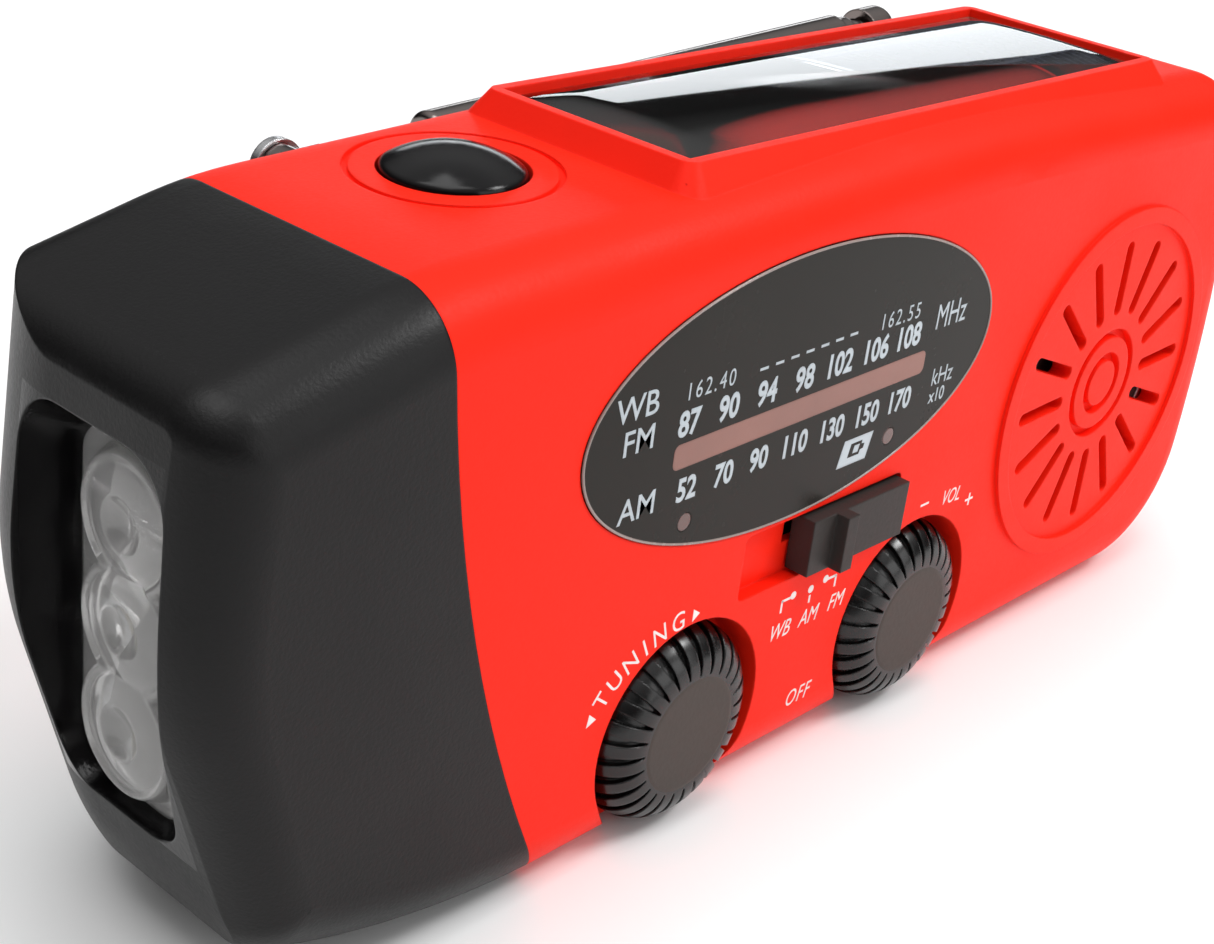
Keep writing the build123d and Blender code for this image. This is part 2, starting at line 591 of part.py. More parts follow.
with BuildPart() as tuning_capacitor:
    slab(TUNING_X - 7.5, TUNING_X + 7.5, BOARD_Y, 0.1, 2.6, 17.6)
    disc(TUNING_X, KNOB_Z, SHAFT_R + RUN_GAP, -20, SHAFT_END_Y + 0.3, mode=Mode.SUBTRACT)
tuning_capacitor.part.label = "tuning_capacitor"
export_step(tuning_capacitor.part, "parts/tuning_capacitor.step")

with BuildPart() as volume_shaft:
    disc(VOLUME_X, KNOB_Z, SHAFT_R, KNOB_FRONT_Y + 1.6, SHAFT_END_Y)
    disc(VOLUME_X, KNOB_Z, 3.2, KNOB_PAD_Y + 0.3, KNOB_PAD_Y + 1.5)
volume_shaft.part.label = "volume_shaft"
export_step(volume_shaft.part, "parts/volume_shaft.step")

with BuildPart() as volume_pot:
    disc(VOLUME_X, KNOB_Z, 6.3, BOARD_Y, -0.6)
    disc(VOLUME_X, KNOB_Z, SHAFT_R + RUN_GAP, -20, SHAFT_END_Y + 0.3, mode=Mode.SUBTRACT)
volume_pot.part.label = "volume_pot"
export_step(volume_pot.part, "parts/volume_pot.step")

# ---------------------------------------------------------------- band switch
with BuildPart() as band_slider:
    slab(-5.0, 7.6, FRONT_Y - 1.1, FRONT_Y + 1.1, BAND_Z - 2.4, BAND_Z + 2.4)
    slab(-2.2, -0.8, FRONT_Y - 2.3, FRONT_Y - 1.0, BAND_Z - 2.4, BAND_Z + 2.4)
    slab(1.4, 5.2, FRONT_Y + 1.0, -9.0, BAND_Z + 0.1, BAND_Z + 1.7)
band_slider.part.label = "band_slider"
export_step(band_slider.part, "parts/band_slider.step")

with BuildPart() as band_switch:
    slab(-5.6, 6.8, -10.8, BOARD_Y - BOARD_THICK, 18.9, 24.3)
    slab(-4.6, 5.8, -11.0, -8.6, BAND_Z - 0.1, BAND_Z + 1.9, mode=Mode.SUBTRACT)
band_switch.part.label = "band_switch"
export_step(band_switch.part, "parts/band_switch.step")

# ---------------------------------------------------------------- loudspeaker
with BuildPart() as speaker_frame:
    disc(SPEAKER_X, SPEAKER_Z, 15.2, -12.7, -9.6)
    disc(SPEAKER_X, SPEAKER_Z, 13.2, -13, -10.4, mode=Mode.SUBTRACT)
    disc(SPEAKER_X, SPEAKER_Z, 6.2, -13, -9, mode=Mode.SUBTRACT)
speaker_frame.part.label = "speaker_frame"
export_step(speaker_frame.part, "parts/speaker_frame.step")

with BuildPart() as speaker_cone:
    with BuildSketch(Plane(origin=(SPEAKER_X, 0, SPEAKER_Z), x_dir=(1, 0, 0), z_dir=(0, 0, 1))):
        with BuildLine():
            Polyline((0, -12.3), (4.0, -11.4), (11.4, -12.5), (13.2, -12.5), (13.2, -12.1), (11.6, -12.1),
                     (4.0, -11.0), (0, -11.9), (0, -12.3))
        make_face()
    revolve(axis=Axis((SPEAKER_X, 0, SPEAKER_Z), (0, 1, 0)))
speaker_cone.part.label = "speaker_cone"
export_step(speaker_cone.part, "parts/speaker_cone.step")

with BuildPart() as speaker_magnet:
    disc(SPEAKER_X, SPEAKER_Z, 6.2, -10.4, -9.6)
    disc(SPEAKER_X, SPEAKER_Z, 8.0, -9.6, -6.6)
speaker_magnet.part.label = "speaker_magnet"
export_step(speaker_magnet.part, "parts/speaker_magnet.step")

# ---------------------------------------------------------------- main board and aerial rod
with BuildPart() as main_board:
    with BuildSketch(upright(BOARD_Y)):
        Polygon((-41.0, 9.0), (-33.0, 3.4), (21.5, 3.4), (21.5, 45.8), (-22.5, 45.8), (-22.5, 40.8),
                (-41.0, 40.8), align=None)
        with Locations(SCREW_POINTS[0], SCREW_POINTS[1]):
            Circle(3.1, mode=Mode.SUBTRACT)
        with Locations((TUNING_X, KNOB_Z), (VOLUME_X, KNOB_Z)):
            Circle(2.7, mode=Mode.SUBTRACT)
        with Locations(*BOARD_POSTS):
            Circle(0.9, mode=Mode.SUBTRACT)
    extrude(amount=BOARD_THICK)
main_board.part.label = "main_board"
export_step(main_board.part, "parts/main_board.step")

CHIPS = [(-4.0, 31.0, 9.0, 9.0), (9.0, 33.0, 5.0, 6.2), (-31.0, 33.0, 5.0, 5.0), (-20.0, 37.0, 7.0, 3.0)]
CANS = [(14.0, 24.0), (3.0, 39.0), (-31.5, 12.5)]

with BuildPart() as board_chips:
    for x, z, width, height in CHIPS:
        slab(x - width / 2, x + width / 2, BOARD_Y, BOARD_Y + 1.2, z - height / 2, z + height / 2)
    for x, z in CANS:
        disc(x, z, 2.0, BOARD_Y, BOARD_Y + 3.6)
board_chips.part.label = "board_chips"
export_step(board_chips.part, "parts/board_chips.step")

with BuildPart() as board_screws:
    for x, z in BOARD_POSTS:
        disc(x, z, 1.6, BOARD_Y, BOARD_Y + 1.0)
        disc(x, z, 0.8, BOARD_Y - 5.0, BOARD_Y + 0.5)
board_screws.part.label = "board_screws"
export_step(board_screws.part, "parts/board_screws.step")

ROD_Y, ROD_Z = 0.6, 45.0

with BuildPart() as ferrite_rod:
    with BuildSketch(across(-20.0)):
        with Locations((ROD_Y, ROD_Z)):
            Circle(2.4)
    extrude(amount=38.0)
ferrite_rod.part.label = "ferrite_rod"
export_step(ferrite_rod.part, "parts/ferrite_rod.step")

with BuildPart() as ferrite_coil:
    with BuildSketch(across(-16.0)):
        with Locations((ROD_Y, ROD_Z)):
            Circle(3.1)
            Circle(2.4, mode=Mode.SUBTRACT)
    extrude(amount=14.0)
ferrite_coil.part.label = "ferrite_coil"
export_step(ferrite_coil.part, "parts/ferrite_coil.step")

with BuildPart() as battery:
    slab(-36.0, -6.0, 1.6, 9.0, 9.6, 24.4)
    fillet(battery.edges().filter_by(Axis.X), 2.4)
battery.part.label = "battery"
export_step(battery.part, "parts/battery.step")

# ---------------------------------------------------------------- sockets and their flap
PORT_BOARD_Z = 27.2

with BuildPart() as port_board:
    slab(-40.0, -13.6, -2.0, 10.8, PORT_BOARD_Z - 1.2, PORT_BOARD_Z)
port_board.part.label = "port_board"
export_step(port_board.part, "parts/port_board.step")

with BuildPart() as usb_out_port:
    slab(-29.2, -16.0, -1.0, 13.0, PORT_BOARD_Z, PORT_BOARD_Z + 5.6)
    slab(-28.8, -16.4, 1.0, 14.0, PORT_BOARD_Z + 0.4, PORT_BOARD_Z + 5.2, mode=Mode.SUBTRACT)
    slab(-28.0, -17.2, 0.5, 12.0, PORT_BOARD_Z + 3.2, PORT_BOARD_Z + 4.8)
usb_out_port.part.label = "usb_out_port"
export_step(usb_out_port.part, "parts/usb_out_port.step")

with BuildPart() as micro_usb_port:
    slab(-38.6, -31.0, 7.6, 13.0, PORT_BOARD_Z, PORT_BOARD_Z + 2.7)
    slab(-38.3, -31.3, 8.6, 14.0, PORT_BOARD_Z + 0.3, PORT_BOARD_Z + 2.4, mode=Mode.SUBTRACT)
    slab(-36.8, -32.8, 8.4, 12.4, PORT_BOARD_Z + 1.3, PORT_BOARD_Z + 1.8)
micro_usb_port.part.label = "micro_usb_port"
export_step(micro_usb_port.part, "parts/micro_usb_port.step")

with BuildPart() as port_cover:
    slab(PORT_X0 + 0.4, -14.2, 13.3, 14.8, PORT_Z0 + 0.4, PORT_Z1 - 0.4)
    with BuildSketch(Plane.XY.offset(PORT_Z0 + 0.4)):
        with Locations((-14.2, 14.05)):
            Circle(0.75)
    extrude(amount=PORT_Z1 - PORT_Z0 - 0.8)
    with BuildSketch(Plane.XY.offset(PORT_Z0 - 0.4)):
        with Locations((-14.2, 14.05)):
            Circle(0.4)
    extrude(amount=PORT_Z1 - PORT_Z0 + 0.8)
    # finger lip at the free edge
    slab(PORT_X0 + 0.4, PORT_X0 + 1.8, 14.6, 15.4, 28.0, 32.0)
port_cover.part.label = "port_cover"
export_step(port_cover.part, "parts/port_cover.step")

# ---------------------------------------------------------------- crank
ARM_Y0, ARM_Y1 = 11.0, 15.2
ARM_HALF = 5.2
SLOT_HALF = 3.65
PIN_X = HUB_X - GRIP_REACH
SHAFT_TOP_Y = 13.2

with BuildPart() as crank_bush:
    disc(HUB_X, HUB_Z, 3.0, DISH_Y - 2.0, DISH_Y - 0.1)
    disc(HUB_X, HUB_Z, 4.4, DISH_Y - 2.6, DISH_Y - 2.0)
    disc(HUB_X, HUB_Z, SHAFT_R + RUN_GAP, 0, REAR_Y, mode=Mode.SUBTRACT)
crank_bush.part.label = "crank_bush"
export_step(crank_bush.part, "parts/crank_bush.step")

with BuildPart() as crank_shaft:
    disc(HUB_X, HUB_Z, SHAFT_R, PLATE_Y0, SHAFT_TOP_Y)
    disc(HUB_X, HUB_Z, 1.0, 9.0, SHAFT_TOP_Y + 1, mode=Mode.SUBTRACT)
crank_shaft.part.label = "crank_shaft"
export_step(crank_shaft.part, "parts/crank_shaft.step")

with BuildPart() as crank_arm:
    with BuildSketch(upright(ARM_Y1)):
        with Locations((HUB_X, HUB_Z)):
            Circle(ARM_HALF)
        with Locations((HUB_X - 7.1, HUB_Z)):
            SlotCenterToCenter(14.2, 2 * ARM_HALF)
    extrude(amount=ARM_Y1 - ARM_Y0)
    with BuildSketch(Plane.XY.offset(HUB_Z - ARM_HALF)):
        with Locations((PIN_X, GRIP_Y)):
            Circle(2.1)
        with Locations((PIN_X + 2.0, (ARM_Y0 + GRIP_Y) / 2 + 0.6)):
            Rectangle(4.0, GRIP_Y - ARM_Y0 + 1.2)
    extrude(amount=2 * ARM_HALF)
    slab(HUB_X - 21, HUB_X - 5.3, 0, 20, HUB_Z - SLOT_HALF, HUB_Z + SLOT_HALF, mode=Mode.SUBTRACT)
    with BuildSketch(Plane.XY.offset(HUB_Z - 10)):
        with Locations((PIN_X, GRIP_Y)):
            Circle(0.8)
    extrude(amount=20, mode=Mode.SUBTRACT)
    disc(HUB_X, HUB_Z, SHAFT_R, 0, SHAFT_TOP_Y, mode=Mode.SUBTRACT)
    disc(HUB_X, HUB_Z, 1.0, 0, 20, mode=Mode.SUBTRACT)
    disc(HUB_X, HUB_Z, 2.4, 13.9, 20, mode=Mode.SUBTRACT)
crank_arm.part.label = "crank_arm"
export_step(crank_arm.part, "parts/crank_arm.step")

with BuildPart() as crank_screw:
    disc(HUB_X, HUB_Z, 2.3, 13.9, 15.1)
    disc(HUB_X, HUB_Z, 1.0, 9.2, 14.0)
    slab(HUB_X - 1.5, HUB_X + 1.5, 14.5, 16, HUB_Z - 0.3, HUB_Z + 0.3, mode=Mode.SUBTRACT)
    slab(HUB_X - 0.3, HUB_X + 0.3, 14.5, 16, HUB_Z - 1.5, HUB_Z + 1.5, mode=Mode.SUBTRACT)
crank_screw.part.label = "crank_screw"
export_step(crank_screw.part, "parts/crank_screw.step")

with BuildPart() as grip_hinge_pin:
    with BuildSketch(Plane.XY.offset(HUB_Z - ARM_HALF)):
        with Locations((PIN_X, GRIP_Y)):
            Circle(0.8)
    extrude(amount=2 * ARM_HALF)
grip_hinge_pin.part.label = "grip_hinge_pin"
export_step(grip_hinge_pin.part, "parts/grip_hinge_pin.step")

with BuildPart() as grip_post:
    with BuildSketch(Plane.XY.offset(HUB_Z - 3.4)):
        with Locations((PIN_X, GRIP_Y)):
            Circle(2.0)
    extrude(amount=6.8)
    with BuildSketch(Plane(origin=(PIN_X, GRIP_Y, HUB_Z), x_dir=(0, 1, 0), z_dir=(1, 0, 0))):
        Circle(1.6)
    extrude(amount=11.0)
    with BuildSketch(Plane(origin=(PIN_X + 10.4, GRIP_Y, HUB_Z), x_dir=(0, 1, 0), z_dir=(1, 0, 0))):
        Circle(2.4)
    extrude(amount=0.8)
    with BuildSketch(Plane.XY.offset(HUB_Z - 4)):
        with Locations((PIN_X, GRIP_Y)):
            Circle(0.8 + RUN_GAP)
    extrude(amount=8, mode=Mode.SUBTRACT)
grip_post.part.label = "grip_post"
export_step(grip_post.part, "parts/grip_post.step")

with BuildPart() as grip_sleeve:
    with BuildSketch(Plane(origin=(PIN_X + 2.6, GRIP_Y, HUB_Z), x_dir=(0, 1, 0), z_dir=(1, 0, 0))):
        Circle(3.2)
        Circle(1.6 + RUN_GAP, mode=Mode.SUBTRACT)
    extrude(amount=8.8)
    with BuildSketch(Plane(origin=(PIN_X + 10.1, GRIP_Y, HUB_Z), x_dir=(0, 1, 0), z_dir=(1, 0, 0))):
        Circle(2.5)
    extrude(amount=3.0, mode=Mode.SUBTRACT)
grip_sleeve.part.label = "grip_sleeve"
export_step(grip_sleeve.part, "parts/grip_sleeve.step")

# ---------------------------------------------------------------- gear train and dynamo
WHEEL_Y0, WHEEL_Y1 = 2.9, 4.7
DRIVE_Y0, DRIVE_Y1 = 5.2, 7.2


def gear_plane(x, y):
    return Plane(origin=(x, y, HUB_Z), x_dir=(1, 0, 0), z_dir=(0, -1, 0))


with BuildPart() as drive_gear:
    with BuildSketch(gear_plane(HUB_X, DRIVE_Y1)):
        gear_outline(DRIVE_TEETH)
        Circle(SHAFT_R, mode=Mode.SUBTRACT)
    extrude(amount=DRIVE_Y1 - DRIVE_Y0)
drive_gear.part.label = "drive_gear"
export_step(drive_gear.part, "parts/drive_gear.step")

with BuildPart() as idler_gear:
    with BuildSketch(gear_plane(IDLER_X, DRIVE_Y1)):
        gear_outline(IDLER_PINION_TEETH, turn=180 / IDLER_PINION_TEETH)
    extrude(amount=DRIVE_Y1 - WHEEL_Y1)
    with BuildSketch(gear_plane(IDLER_X, WHEEL_Y1)):
        gear_outline(IDLER_WHEEL_TEETH)
    extrude(amount=WHEEL_Y1 - WHEEL_Y0)
    disc(IDLER_X, HUB_Z, 1.0 + RUN_GAP, 0, 20, mode=Mode.SUBTRACT)
idler_gear.part.label = "idler_gear"
export_step(idler_gear.part, "parts/idler_gear.step")

with BuildPart() as idler_axle:
    disc(IDLER_X, HUB_Z, 1.0, PLATE_Y0, DISH_Y - 0.8)
idler_axle.part.label = "idler_axle"
export_step(idler_axle.part, "parts/idler_axle.step")

with BuildPart() as gearbox_plate:
    with BuildSketch(upright(PLATE_Y1)):
        with Locations((31.0, HUB_Z)):
            RectangleRounded(51.0, 27.6, 3.0)
        with Locations((HUB_X, HUB_Z)):
            Circle(SHAFT_R + RUN_GAP, mode=Mode.SUBTRACT)
        with Locations((IDLER_X, HUB_Z)):
            Circle(1.0, mode=Mode.SUBTRACT)
        with Locations((DYNAMO_X, HUB_Z)):
            Circle(1.4, mode=Mode.SUBTRACT)
        with Locations(*GEARBOX_POSTS):
            Circle(0.9, mode=Mode.SUBTRACT)
    extrude(amount=PLATE_Y1 - PLATE_Y0)
gearbox_plate.part.label = "gearbox_plate"
export_step(gearbox_plate.part, "parts/gearbox_plate.step")

with BuildPart() as gearbox_screws:
    for x, z in GEARBOX_POSTS:
        disc(x, z, 1.7, PLATE_Y0 - 1.0, PLATE_Y0)
        disc(x, z, 0.8, PLATE_Y0 - 0.5, 7.2)
gearbox_screws.part.label = "gearbox_screws"
export_step(gearbox_screws.part, "parts/gearbox_screws.step")

DYNAMO_R = 9.7
DYNAMO_FRONT_Y = -4.0

with BuildPart() as dynamo_case:
    disc(DYNAMO_X, HUB_Z, DYNAMO_R, DYNAMO_FRONT_Y, PLATE_Y0)
    disc(DYNAMO_X, HUB_Z, 1.0 + RUN_GAP, -1.4, 5, mode=Mode.SUBTRACT)
dynamo_case.part.label = "dynamo_case"
export_step(dynamo_case.part, "parts/dynamo_case.step")

with BuildPart() as dynamo_pinion:
    disc(DYNAMO_X, HUB_Z, 1.0, -1.0, 4.9)
    with BuildSketch(gear_plane(DYNAMO_X, 4.9)):
        gear_outline(DYNAMO_TEETH)
    extrude(amount=2.0)
dynamo_pinion.part.label = "dynamo_pinion"
export_step(dynamo_pinion.part, "parts/dynamo_pinion.step")

# ---------------------------------------------------------------- antenna
LUG_Y0, LUG_Y1 = STEP_Y, 18.5
TONGUE_HALF = 1.2


def along_antenna(distance):
    """Plane across the folded antenna, at a distance from its pivot."""
    return antenna_start.offset(distance)


with BuildPart() as antenna_lug:
    with BuildSketch(upright(LUG_Y1)):
        with Locations((ANTENNA_X, ANTENNA_Z)):
            Circle(2.2)
        with Locations((ANTENNA_X, (41.2 + ANTENNA_Z) / 2)):
            Rectangle(4.4, ANTENNA_Z - 41.2)
        with Locations((ANTENNA_X, 42.2)):
            Rectangle(8.8, 2.0)
    extrude(amount=LUG_Y1 - LUG_Y0)
    slab(ANTENNA_X - 10, ANTENNA_X + 10, ANTENNA_Y - TONGUE_HALF - 0.1, ANTENNA_Y + TONGUE_HALF + 0.1, 43.4, 60,
         mode=Mode.SUBTRACT)
    disc(ANTENNA_X, ANTENNA_Z, 1.0, 0, 20, mode=Mode.SUBTRACT)
antenna_lug.part.label = "antenna_lug"
export_step(antenna_lug.part, "parts/antenna_lug.step")

with BuildPart() as antenna_pin:
    disc(ANTENNA_X, ANTENNA_Z, 1.0, LUG_Y0, LUG_Y1)
    disc(ANTENNA_X, ANTENNA_Z, 1.8, LUG_Y1, LUG_Y1 + 0.4)
antenna_pin.part.label = "antenna_pin"
export_step(antenna_pin.part, "parts/antenna_pin.step")

TUBE_RADII = [(2.2, 1.88), (1.82, 1.5), (1.44, 1.12)]
TUBE_STARTS = [NECK_LENGTH, 15.4, 16.2]
TUBE_ENDS = [64.3, 66.0, 67.6]
NECK_R = 1.4
ROD_START = 17.0

with BuildPart() as antenna_tube_1:
    with BuildSketch(along_antenna(TUBE_STARTS[0])):
        Circle(TUBE_RADII[0][0])
    extrude(amount=TUBE_ENDS[0] - TUBE_STARTS[0])
    with BuildSketch(along_antenna(3.0)):
        Circle(NECK_R)
    extrude(amount=NECK_LENGTH - 3.0)
    fillet(antenna_tube_1.edges().filter_by(lambda e: abs(e.length - 2 * pi * TUBE_RADII[0][0]) < 0.1).sort_by(Axis.X)[0], 0.6)
    with BuildSketch(along_antenna(NECK_LENGTH + 1.4)):
        Circle(TUBE_RADII[0][1])
    extrude(amount=ANTENNA_LENGTH, mode=Mode.SUBTRACT)
    disc(ANTENNA_X, ANTENNA_Z, 1.9, ANTENNA_Y - TONGUE_HALF, ANTENNA_Y + TONGUE_HALF)
    with BuildSketch(along_antenna(0)):
        Rectangle(2 * TONGUE_HALF, 2.4)
    extrude(amount=3.6)
    disc(ANTENNA_X, ANTENNA_Z, 1.0 + RUN_GAP, 0, 20, mode=Mode.SUBTRACT)
antenna_tube_1.part.label = "antenna_tube_1"
export_step(antenna_tube_1.part, "parts/antenna_tube_1.step")

with BuildPart() as antenna_tube_2:
    with BuildSketch(along_antenna(TUBE_STARTS[1])):
        Circle(TUBE_RADII[1][0])
        Circle(TUBE_RADII[1][1], mode=Mode.SUBTRACT)
    extrude(amount=TUBE_ENDS[1] - TUBE_STARTS[1])
antenna_tube_2.part.label = "antenna_tube_2"
export_step(antenna_tube_2.part, "parts/antenna_tube_2.step")

with BuildPart() as antenna_tube_3:
    with BuildSketch(along_antenna(TUBE_STARTS[2])):
        Circle(TUBE_RADII[2][0])
        Circle(TUBE_RADII[2][1], mode=Mode.SUBTRACT)
    extrude(amount=TUBE_ENDS[2] - TUBE_STARTS[2])
antenna_tube_3.part.label = "antenna_tube_3"
export_step(antenna_tube_3.part, "parts/antenna_tube_3.step")

with BuildPart() as antenna_tip:
    with BuildSketch(along_antenna(ROD_START)):
        Circle(1.06)
    extrude(amount=ANTENNA_LENGTH - ROD_START + 0.5)
    with BuildSketch(along_antenna(ANTENNA_LENGTH)):
        Circle(2.2)
    extrude(amount=3.4)
    fillet(antenna_tip.edges().filter_by(GeomType.CIRCLE).filter_by(lambda e: e.radius > 2).sort_by(Axis.X)[-1], 0.9)
antenna_tip.part.label = "antenna_tip"
export_step(antenna_tip.part, "parts/antenna_tip.step")

# ---------------------------------------------------------------- case screws
with BuildPart() as case_screws:
    for x, z in SCREW_POINTS:
        disc(x, z, 2.5, 12.7, 14.3)
        disc(x, z, 0.9, 3.0, 13.0)
        slab(x - 1.6, x + 1.6, 13.6, 15, z - 0.3, z + 0.3, mode=Mode.SUBTRACT)
        slab(x - 0.3, x + 0.3, 13.6, 15, z - 1.6, z + 1.6, mode=Mode.SUBTRACT)
case_screws.part.label = "case_screws"
export_step(case_screws.part, "parts/case_screws.step")
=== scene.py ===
from math import atan2, cos, pi, radians, sin, sqrt

import bmesh
import bpy
from mathutils import Matrix, Vector


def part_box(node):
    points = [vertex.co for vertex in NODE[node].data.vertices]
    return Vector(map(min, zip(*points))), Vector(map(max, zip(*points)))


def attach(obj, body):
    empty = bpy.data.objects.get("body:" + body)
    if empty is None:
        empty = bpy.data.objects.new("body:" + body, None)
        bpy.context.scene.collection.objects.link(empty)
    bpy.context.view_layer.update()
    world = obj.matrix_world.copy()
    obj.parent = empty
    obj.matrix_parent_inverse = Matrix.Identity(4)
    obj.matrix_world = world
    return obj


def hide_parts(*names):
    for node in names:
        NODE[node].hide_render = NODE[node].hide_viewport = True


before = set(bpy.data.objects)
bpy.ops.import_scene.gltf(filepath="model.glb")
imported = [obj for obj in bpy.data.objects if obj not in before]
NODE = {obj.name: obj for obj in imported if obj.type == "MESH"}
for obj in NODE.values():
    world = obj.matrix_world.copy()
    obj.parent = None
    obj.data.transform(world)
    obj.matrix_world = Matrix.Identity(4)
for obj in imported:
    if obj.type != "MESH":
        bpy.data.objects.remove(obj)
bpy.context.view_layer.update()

MM = 0.001


# ---------------------------------------------------------------- places taken from the frame
def corners(node):
    """Lowest and highest corner of a CAD node, in millimetres."""
    low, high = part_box(node)
    return low / MM, high / MM


def middle(node):
    """Middle of a CAD node's box, in millimetres."""
    low, high = corners(node)
    return (low + high) / 2


window_low, window_high = corners("dial_window")
DIAL_X, DIAL_Z = middle("dial_window").x, middle("dial_window").z
DIAL_RX, DIAL_RZ = (window_high.x - window_low.x) / 2, (window_high.z - window_low.z) / 2
WINDOW_Y = window_low.y
FRONT_Y = WINDOW_Y + 0.1
TUNING = middle("tuning_knob")
VOLUME = middle("volume_knob")
KNOB_FRONT_Y = corners("tuning_knob")[0].y
PANEL_LOW, PANEL_HIGH = corners("solar_cover")


# ---------------------------------------------------------------- materials
class Graph:
    """Builds one node material a step at a time."""

    def __init__(self, name):
        self.material = bpy.data.materials.new(name)
        self.material.use_nodes = True
        self.tree = self.material.node_tree
        self.tree.nodes.clear()
        self.shader = self.node("ShaderNodeBsdfPrincipled")
        output = self.node("ShaderNodeOutputMaterial")
        self.link(self.shader.outputs["BSDF"], output.inputs["Surface"])
        self.place = self.node("ShaderNodeTexCoord").outputs["Object"]

    def node(self, kind, **settings):
        made = self.tree.nodes.new(kind)
        for key, value in settings.items():
            setattr(made, key, value)
        return made

    def link(self, source, target):
        self.tree.links.new(source, target)

    def feed(self, socket, value):
        if isinstance(value, bpy.types.NodeSocket):
            self.link(value, socket)
        else:
            socket.default_value = value

    def math(self, operation, first, second=0.0, clamp=False):
        step = self.node("ShaderNodeMath", operation=operation, use_clamp=clamp)
        self.feed(step.inputs[0], first)
        self.feed(step.inputs[1], second)
        return step.outputs[0]

    def noise(self, scale, detail=2.0, rough=0.5, stretch=(1, 1, 1)):
        mapping = self.node("ShaderNodeMapping")
        mapping.inputs["Scale"].default_value = stretch
        self.link(self.place, mapping.inputs["Vector"])
        texture = self.node("ShaderNodeTexNoise")
        texture.inputs["Scale"].default_value = scale
        texture.inputs["Detail"].default_value = detail
        texture.inputs["Roughness"].default_value = rough
        self.link(mapping.outputs["Vector"], texture.inputs["Vector"])
        return texture.outputs["Fac"]

    def axis(self, letter):
        split = self.node("ShaderNodeSeparateXYZ")
        self.link(self.place, split.inputs[0])
        return split.outputs[letter]

    def spread(self, value, low, high, to_low, to_high):
        step = self.node("ShaderNodeMapRange")
        self.feed(step.inputs["Value"], value)
        step.inputs["From Min"].default_value = low
        step.inputs["From Max"].default_value = high
        step.inputs["To Min"].default_value = to_low
        step.inputs["To Max"].default_value = to_high
        return step.outputs["Result"]

    def mix(self, amount, first, second):
        step = self.node("ShaderNodeMix", data_type="RGBA")
        self.feed(step.inputs["Factor"], amount)
        self.feed(step.inputs["A"], first)
        self.feed(step.inputs["B"], second)
        return step.outputs["Result"]


def rgba(colour, scale=1.0):
    """Colour with its alpha, brightened or darkened by scale."""
    return tuple(min(1.0, part * scale) for part in colour) + (1.0,)


def moulded(name, colour, rough, grain=3200.0, depth=0.25, vary=0.08, wear=0.0, edge=0.25, specular=0.5,
            metallic=0.0, coat=0.0, coat_rough=0.1, ior=1.5, transmission=0.0, stretch=(1, 1, 1)):
    """Material with fine grain, slow colour variation, uneven gloss and softened, slightly worn edges."""
    g = Graph(name)
    s = g.shader.inputs
    fine = g.noise(grain, 2.0, 0.55, stretch)
    slow = g.noise(90.0, 3.0, 0.6)
    base = g.mix(g.spread(slow, 0.3, 0.7, 0.0, 1.0), rgba(colour, 1 - vary), rgba(colour, 1 + vary))
    soft = g.node("ShaderNodeBevel", samples=4)
    soft.inputs["Radius"].default_value = edge * MM
    if wear:
        geometry = g.node("ShaderNodeNewGeometry")
        dot = g.node("ShaderNodeVectorMath", operation="DOT_PRODUCT")
        g.link(soft.outputs["Normal"], dot.inputs[0])
        g.link(geometry.outputs["Normal"], dot.inputs[1])
        rim = g.spread(dot.outputs["Value"], 0.97, 0.75, 0.0, 1.0)
        patchy = g.math("MULTIPLY", rim, g.spread(g.noise(700.0, 3.0), 0.35, 0.65, 0.2, 1.0))
        worn = tuple(min(1.0, part * 1.3 + 0.02) for part in colour) + (1.0,)
        base = g.mix(g.math("MULTIPLY", patchy, wear), base, worn)
    g.feed(s["Base Color"], base)
    g.feed(s["Roughness"], g.math("ADD", g.spread(slow, 0.3, 0.7, rough - 0.04, rough + 0.04),
                                  g.spread(fine, 0.3, 0.7, -0.03, 0.03), clamp=True))
    bump = g.node("ShaderNodeBump")
    bump.inputs["Strength"].default_value = depth
    bump.inputs["Distance"].default_value = 0.05 * MM
    g.link(fine, bump.inputs["Height"])
    g.link(soft.outputs["Normal"], bump.inputs["Normal"])
    g.link(bump.outputs["Normal"], s["Normal"])
    s["Specular IOR Level"].default_value = specular
    s["Metallic"].default_value = metallic
    s["Coat Weight"].default_value = coat
    s["Coat Roughness"].default_value = coat_rough
    s["IOR"].default_value = ior
    s["Transmission Weight"].default_value = transmission
    return g


def head_material():
    """Black satin plastic whose lamp recess is polished."""
    g = moulded("black_satin", (0.0026, 0.0023, 0.0025), 0.40, grain=3400.0, depth=0.4, wear=0.06,
                specular=0.22)
    low, high = corners("lamp_lens")
    inside = 1.0
    recess = (("Y", low.y - 1.6, high.y - 0.6), ("Z", low.z, high.z + 2.4))
    for letter, start, end in recess:
        place = g.axis(letter)
        inside = g.math("MULTIPLY", inside, g.math("GREATER_THAN", place, start * MM))
        inside = g.math("MULTIPLY", inside, g.math("LESS_THAN", place, end * MM))
    inside = g.math("MULTIPLY", inside, g.math("LESS_THAN", g.axis("X"), (high.x + 0.5) * MM))
    rough = g.shader.inputs["Roughness"].links[0].from_socket
    g.feed(g.shader.inputs["Roughness"], g.math("MULTIPLY", rough, g.spread(inside, 0.0, 1.0, 1.0, 0.3)))
    return g.material


